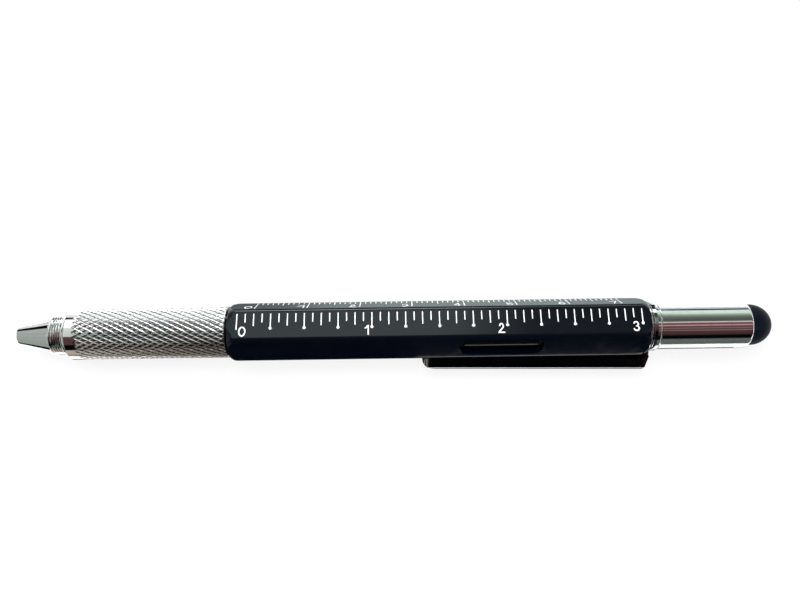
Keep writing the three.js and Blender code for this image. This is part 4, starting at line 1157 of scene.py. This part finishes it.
lamps = {"keyLamp": {"place": (-0.12, 0.2, 0.55), "size": 0.4, "power": 4.6},
         "fillLamp": {"place": (0.3, -0.35, 0.5), "size": 0.4, "power": 1.0}}


def tentMesh():
    # half a tunnel over the pen, from the far horizon over the top to the near one
    strips, lift = studio["strips"], studio["lift"]
    rows = []
    for i in range(strips + 1):
        turn = pi * i / strips
        rows.append([(x, studio["radius"] * cos(turn), studio["radius"] * sin(turn) + lift)
                     for x in (studio["left"], -1, -0.5, 0, 0.5, 1, studio["right"])])
    points = [p for row in rows for p in row]
    across = len(rows[0])
    faces = [(across * i + j, across * i + j + 1, across * (i + 1) + j + 1, across * (i + 1) + j)
             for i in range(strips) for j in range(across - 1)]
    points.append((studio["left"], 0, lift))
    faces += [(across * i, across * (i + 1), len(points) - 1) for i in range(strips)]    # closed at the left end
    return points, faces


def objectGraph(name):
    material = bpy.data.materials.new(name)
    material.use_nodes = True
    look = Graph(material.node_tree)
    return material, look, look.node("ShaderNodeTexCoord").other("Object")


def clothRamp(look, share, stops, low, high):
    # colour and strength of what hangs or lies there, between two limits
    cloth = [((at - low) / (high - low), tuple(c * strength / studio["brightest"] for c in cloths[colour]) + (1,))
             for at, strength, colour in stops]
    return look.node("ShaderNodeValToRGB", {"stops": cloth}, {"Fac": share})


def clothGlow(look, colour, weave):
    woven = look.node("ShaderNodeVectorMath", {"operation": "SCALE"}, {0: colour, "Scale": weave})
    look.show(look.node("ShaderNodeEmission", None, {"Color": woven, "Strength": studio["brightest"]}))


def tentFinish():
    material, look, place = objectGraph("tentCloth")
    x, y, z = look.apart(place)
    folds = look.noise(look.vector(x * 0.9, y * 7, z * 7), 1.6, 4, 0.6) - 0.5
    upward = x.maths("ARCTAN2", z, y) / pi + folds * 0.02
    ramps = {zone: clothRamp(look, upward, stops, 0, 180) for zone, stops in tent.items()}
    seen = ramps["tip"]
    for _, after, start, end in zones:
        seen = look.blend(look.ramp(x + folds * 0.012, start, end), seen, ramps[after])
    streaks = look.ramp(look.noise(look.vector(x * 0.5, y * 30, z * 30), 1.5, 3, 0.6), 0.35, 0.7)
    clothGlow(look, seen, 0.86 + streaks * 0.28)
    return material


def cardFinish(name, stops):
    material, look, place = objectGraph(name + "Felt")
    x, _, _ = look.apart(place)
    felt = look.noise(place, 40, 3, 0.6)
    reach = studio["cardReach"]
    clothGlow(look, clothRamp(look, x / (2 * reach) + 0.5, stops, -reach, reach), 0.92 + felt * 0.16)
    return material


def floorFinish():
    material, look, place = objectGraph("paleFloor")
    x, y, _ = look.apart(place)
    away = look.ramp((x * x + y * y) ** 0.5, studio["whiteFrom"], studio["whiteBeyond"])
    paper = look.noise(place, 260, 3, 0.6)
    grey = look.blend(paper, (0.86, 0.86, 0.86), (0.9, 0.9, 0.9))
    matt = look.node("ShaderNodeBsdfDiffuse", None, {"Color": grey})
    white = look.node("ShaderNodeEmission", None, {"Color": (1, 1, 1, 1), "Strength": studio["white"]})
    cameraRay = look.node("ShaderNodeLightPath")
    reflected = cameraRay.other("Is Glossy Ray").most(cameraRay.other("Is Transmission Ray"))
    share = cameraRay * (1 - studio["shadowShare"] * (1 - away)) + reflected * studio["reflectedFloor"]
    look.show(look.node("ShaderNodeMixShader", None, {0: share, 1: matt, 2: white}))
    return material


def stageMesh(name, part, finish, hidden=True):
    made = meshOf(name, part, Matrix.Identity(4))
    made.data.materials.append(finish)
    if hidden:
        made.visible_camera = made.visible_shadow = made.visible_diffuse = False


def buildStudio():
    stageMesh("tent", tentMesh(), tentFinish())
    for name, (corners, stops) in cards.items():
        corners = [corner if len(corner) > 2 else (*corner, studio["cardHeight"]) for corner in corners]
        stageMesh(name, loopShape(corners), cardFinish(name, stops))
    half = studio["floor"] / 2
    corners = [(-half, -half, 0), (half, -half, 0), (half, half, 0), (-half, half, 0)]
    stageMesh("floor", loopShape(corners), floorFinish(), hidden=False)
    scene = bpy.context.scene
    scene.world = bpy.data.worlds.new("world")
    scene.world.use_nodes = True
    look = Graph(scene.world.node_tree)
    cameraRay = look.node("ShaderNodeLightPath")
    seen = cameraRay.most(cameraRay.other("Is Glossy Ray")).most(cameraRay.other("Is Transmission Ray"))
    glow = studio["world"] + seen * (1 - studio["world"])
    look.show(look.node("ShaderNodeBackground", None, {"Color": (1, 1, 1, 1), "Strength": glow}), "World")
    scene.view_settings.view_transform = "Standard"
    for name, lamp in lamps.items():
        data = bpy.data.lights.new(name, "AREA")
        data.size, data.energy = lamp["size"], lamp["power"]
        made = bpy.data.objects.new(name, data)
        made.location = lamp["place"]
        made.rotation_euler = (-Vector(lamp["place"])).to_track_quat("-Z", "Y").to_euler()
        made.visible_glossy = made.visible_camera = False
        scene.collection.objects.link(made)


buildStudio()
print("studio built")
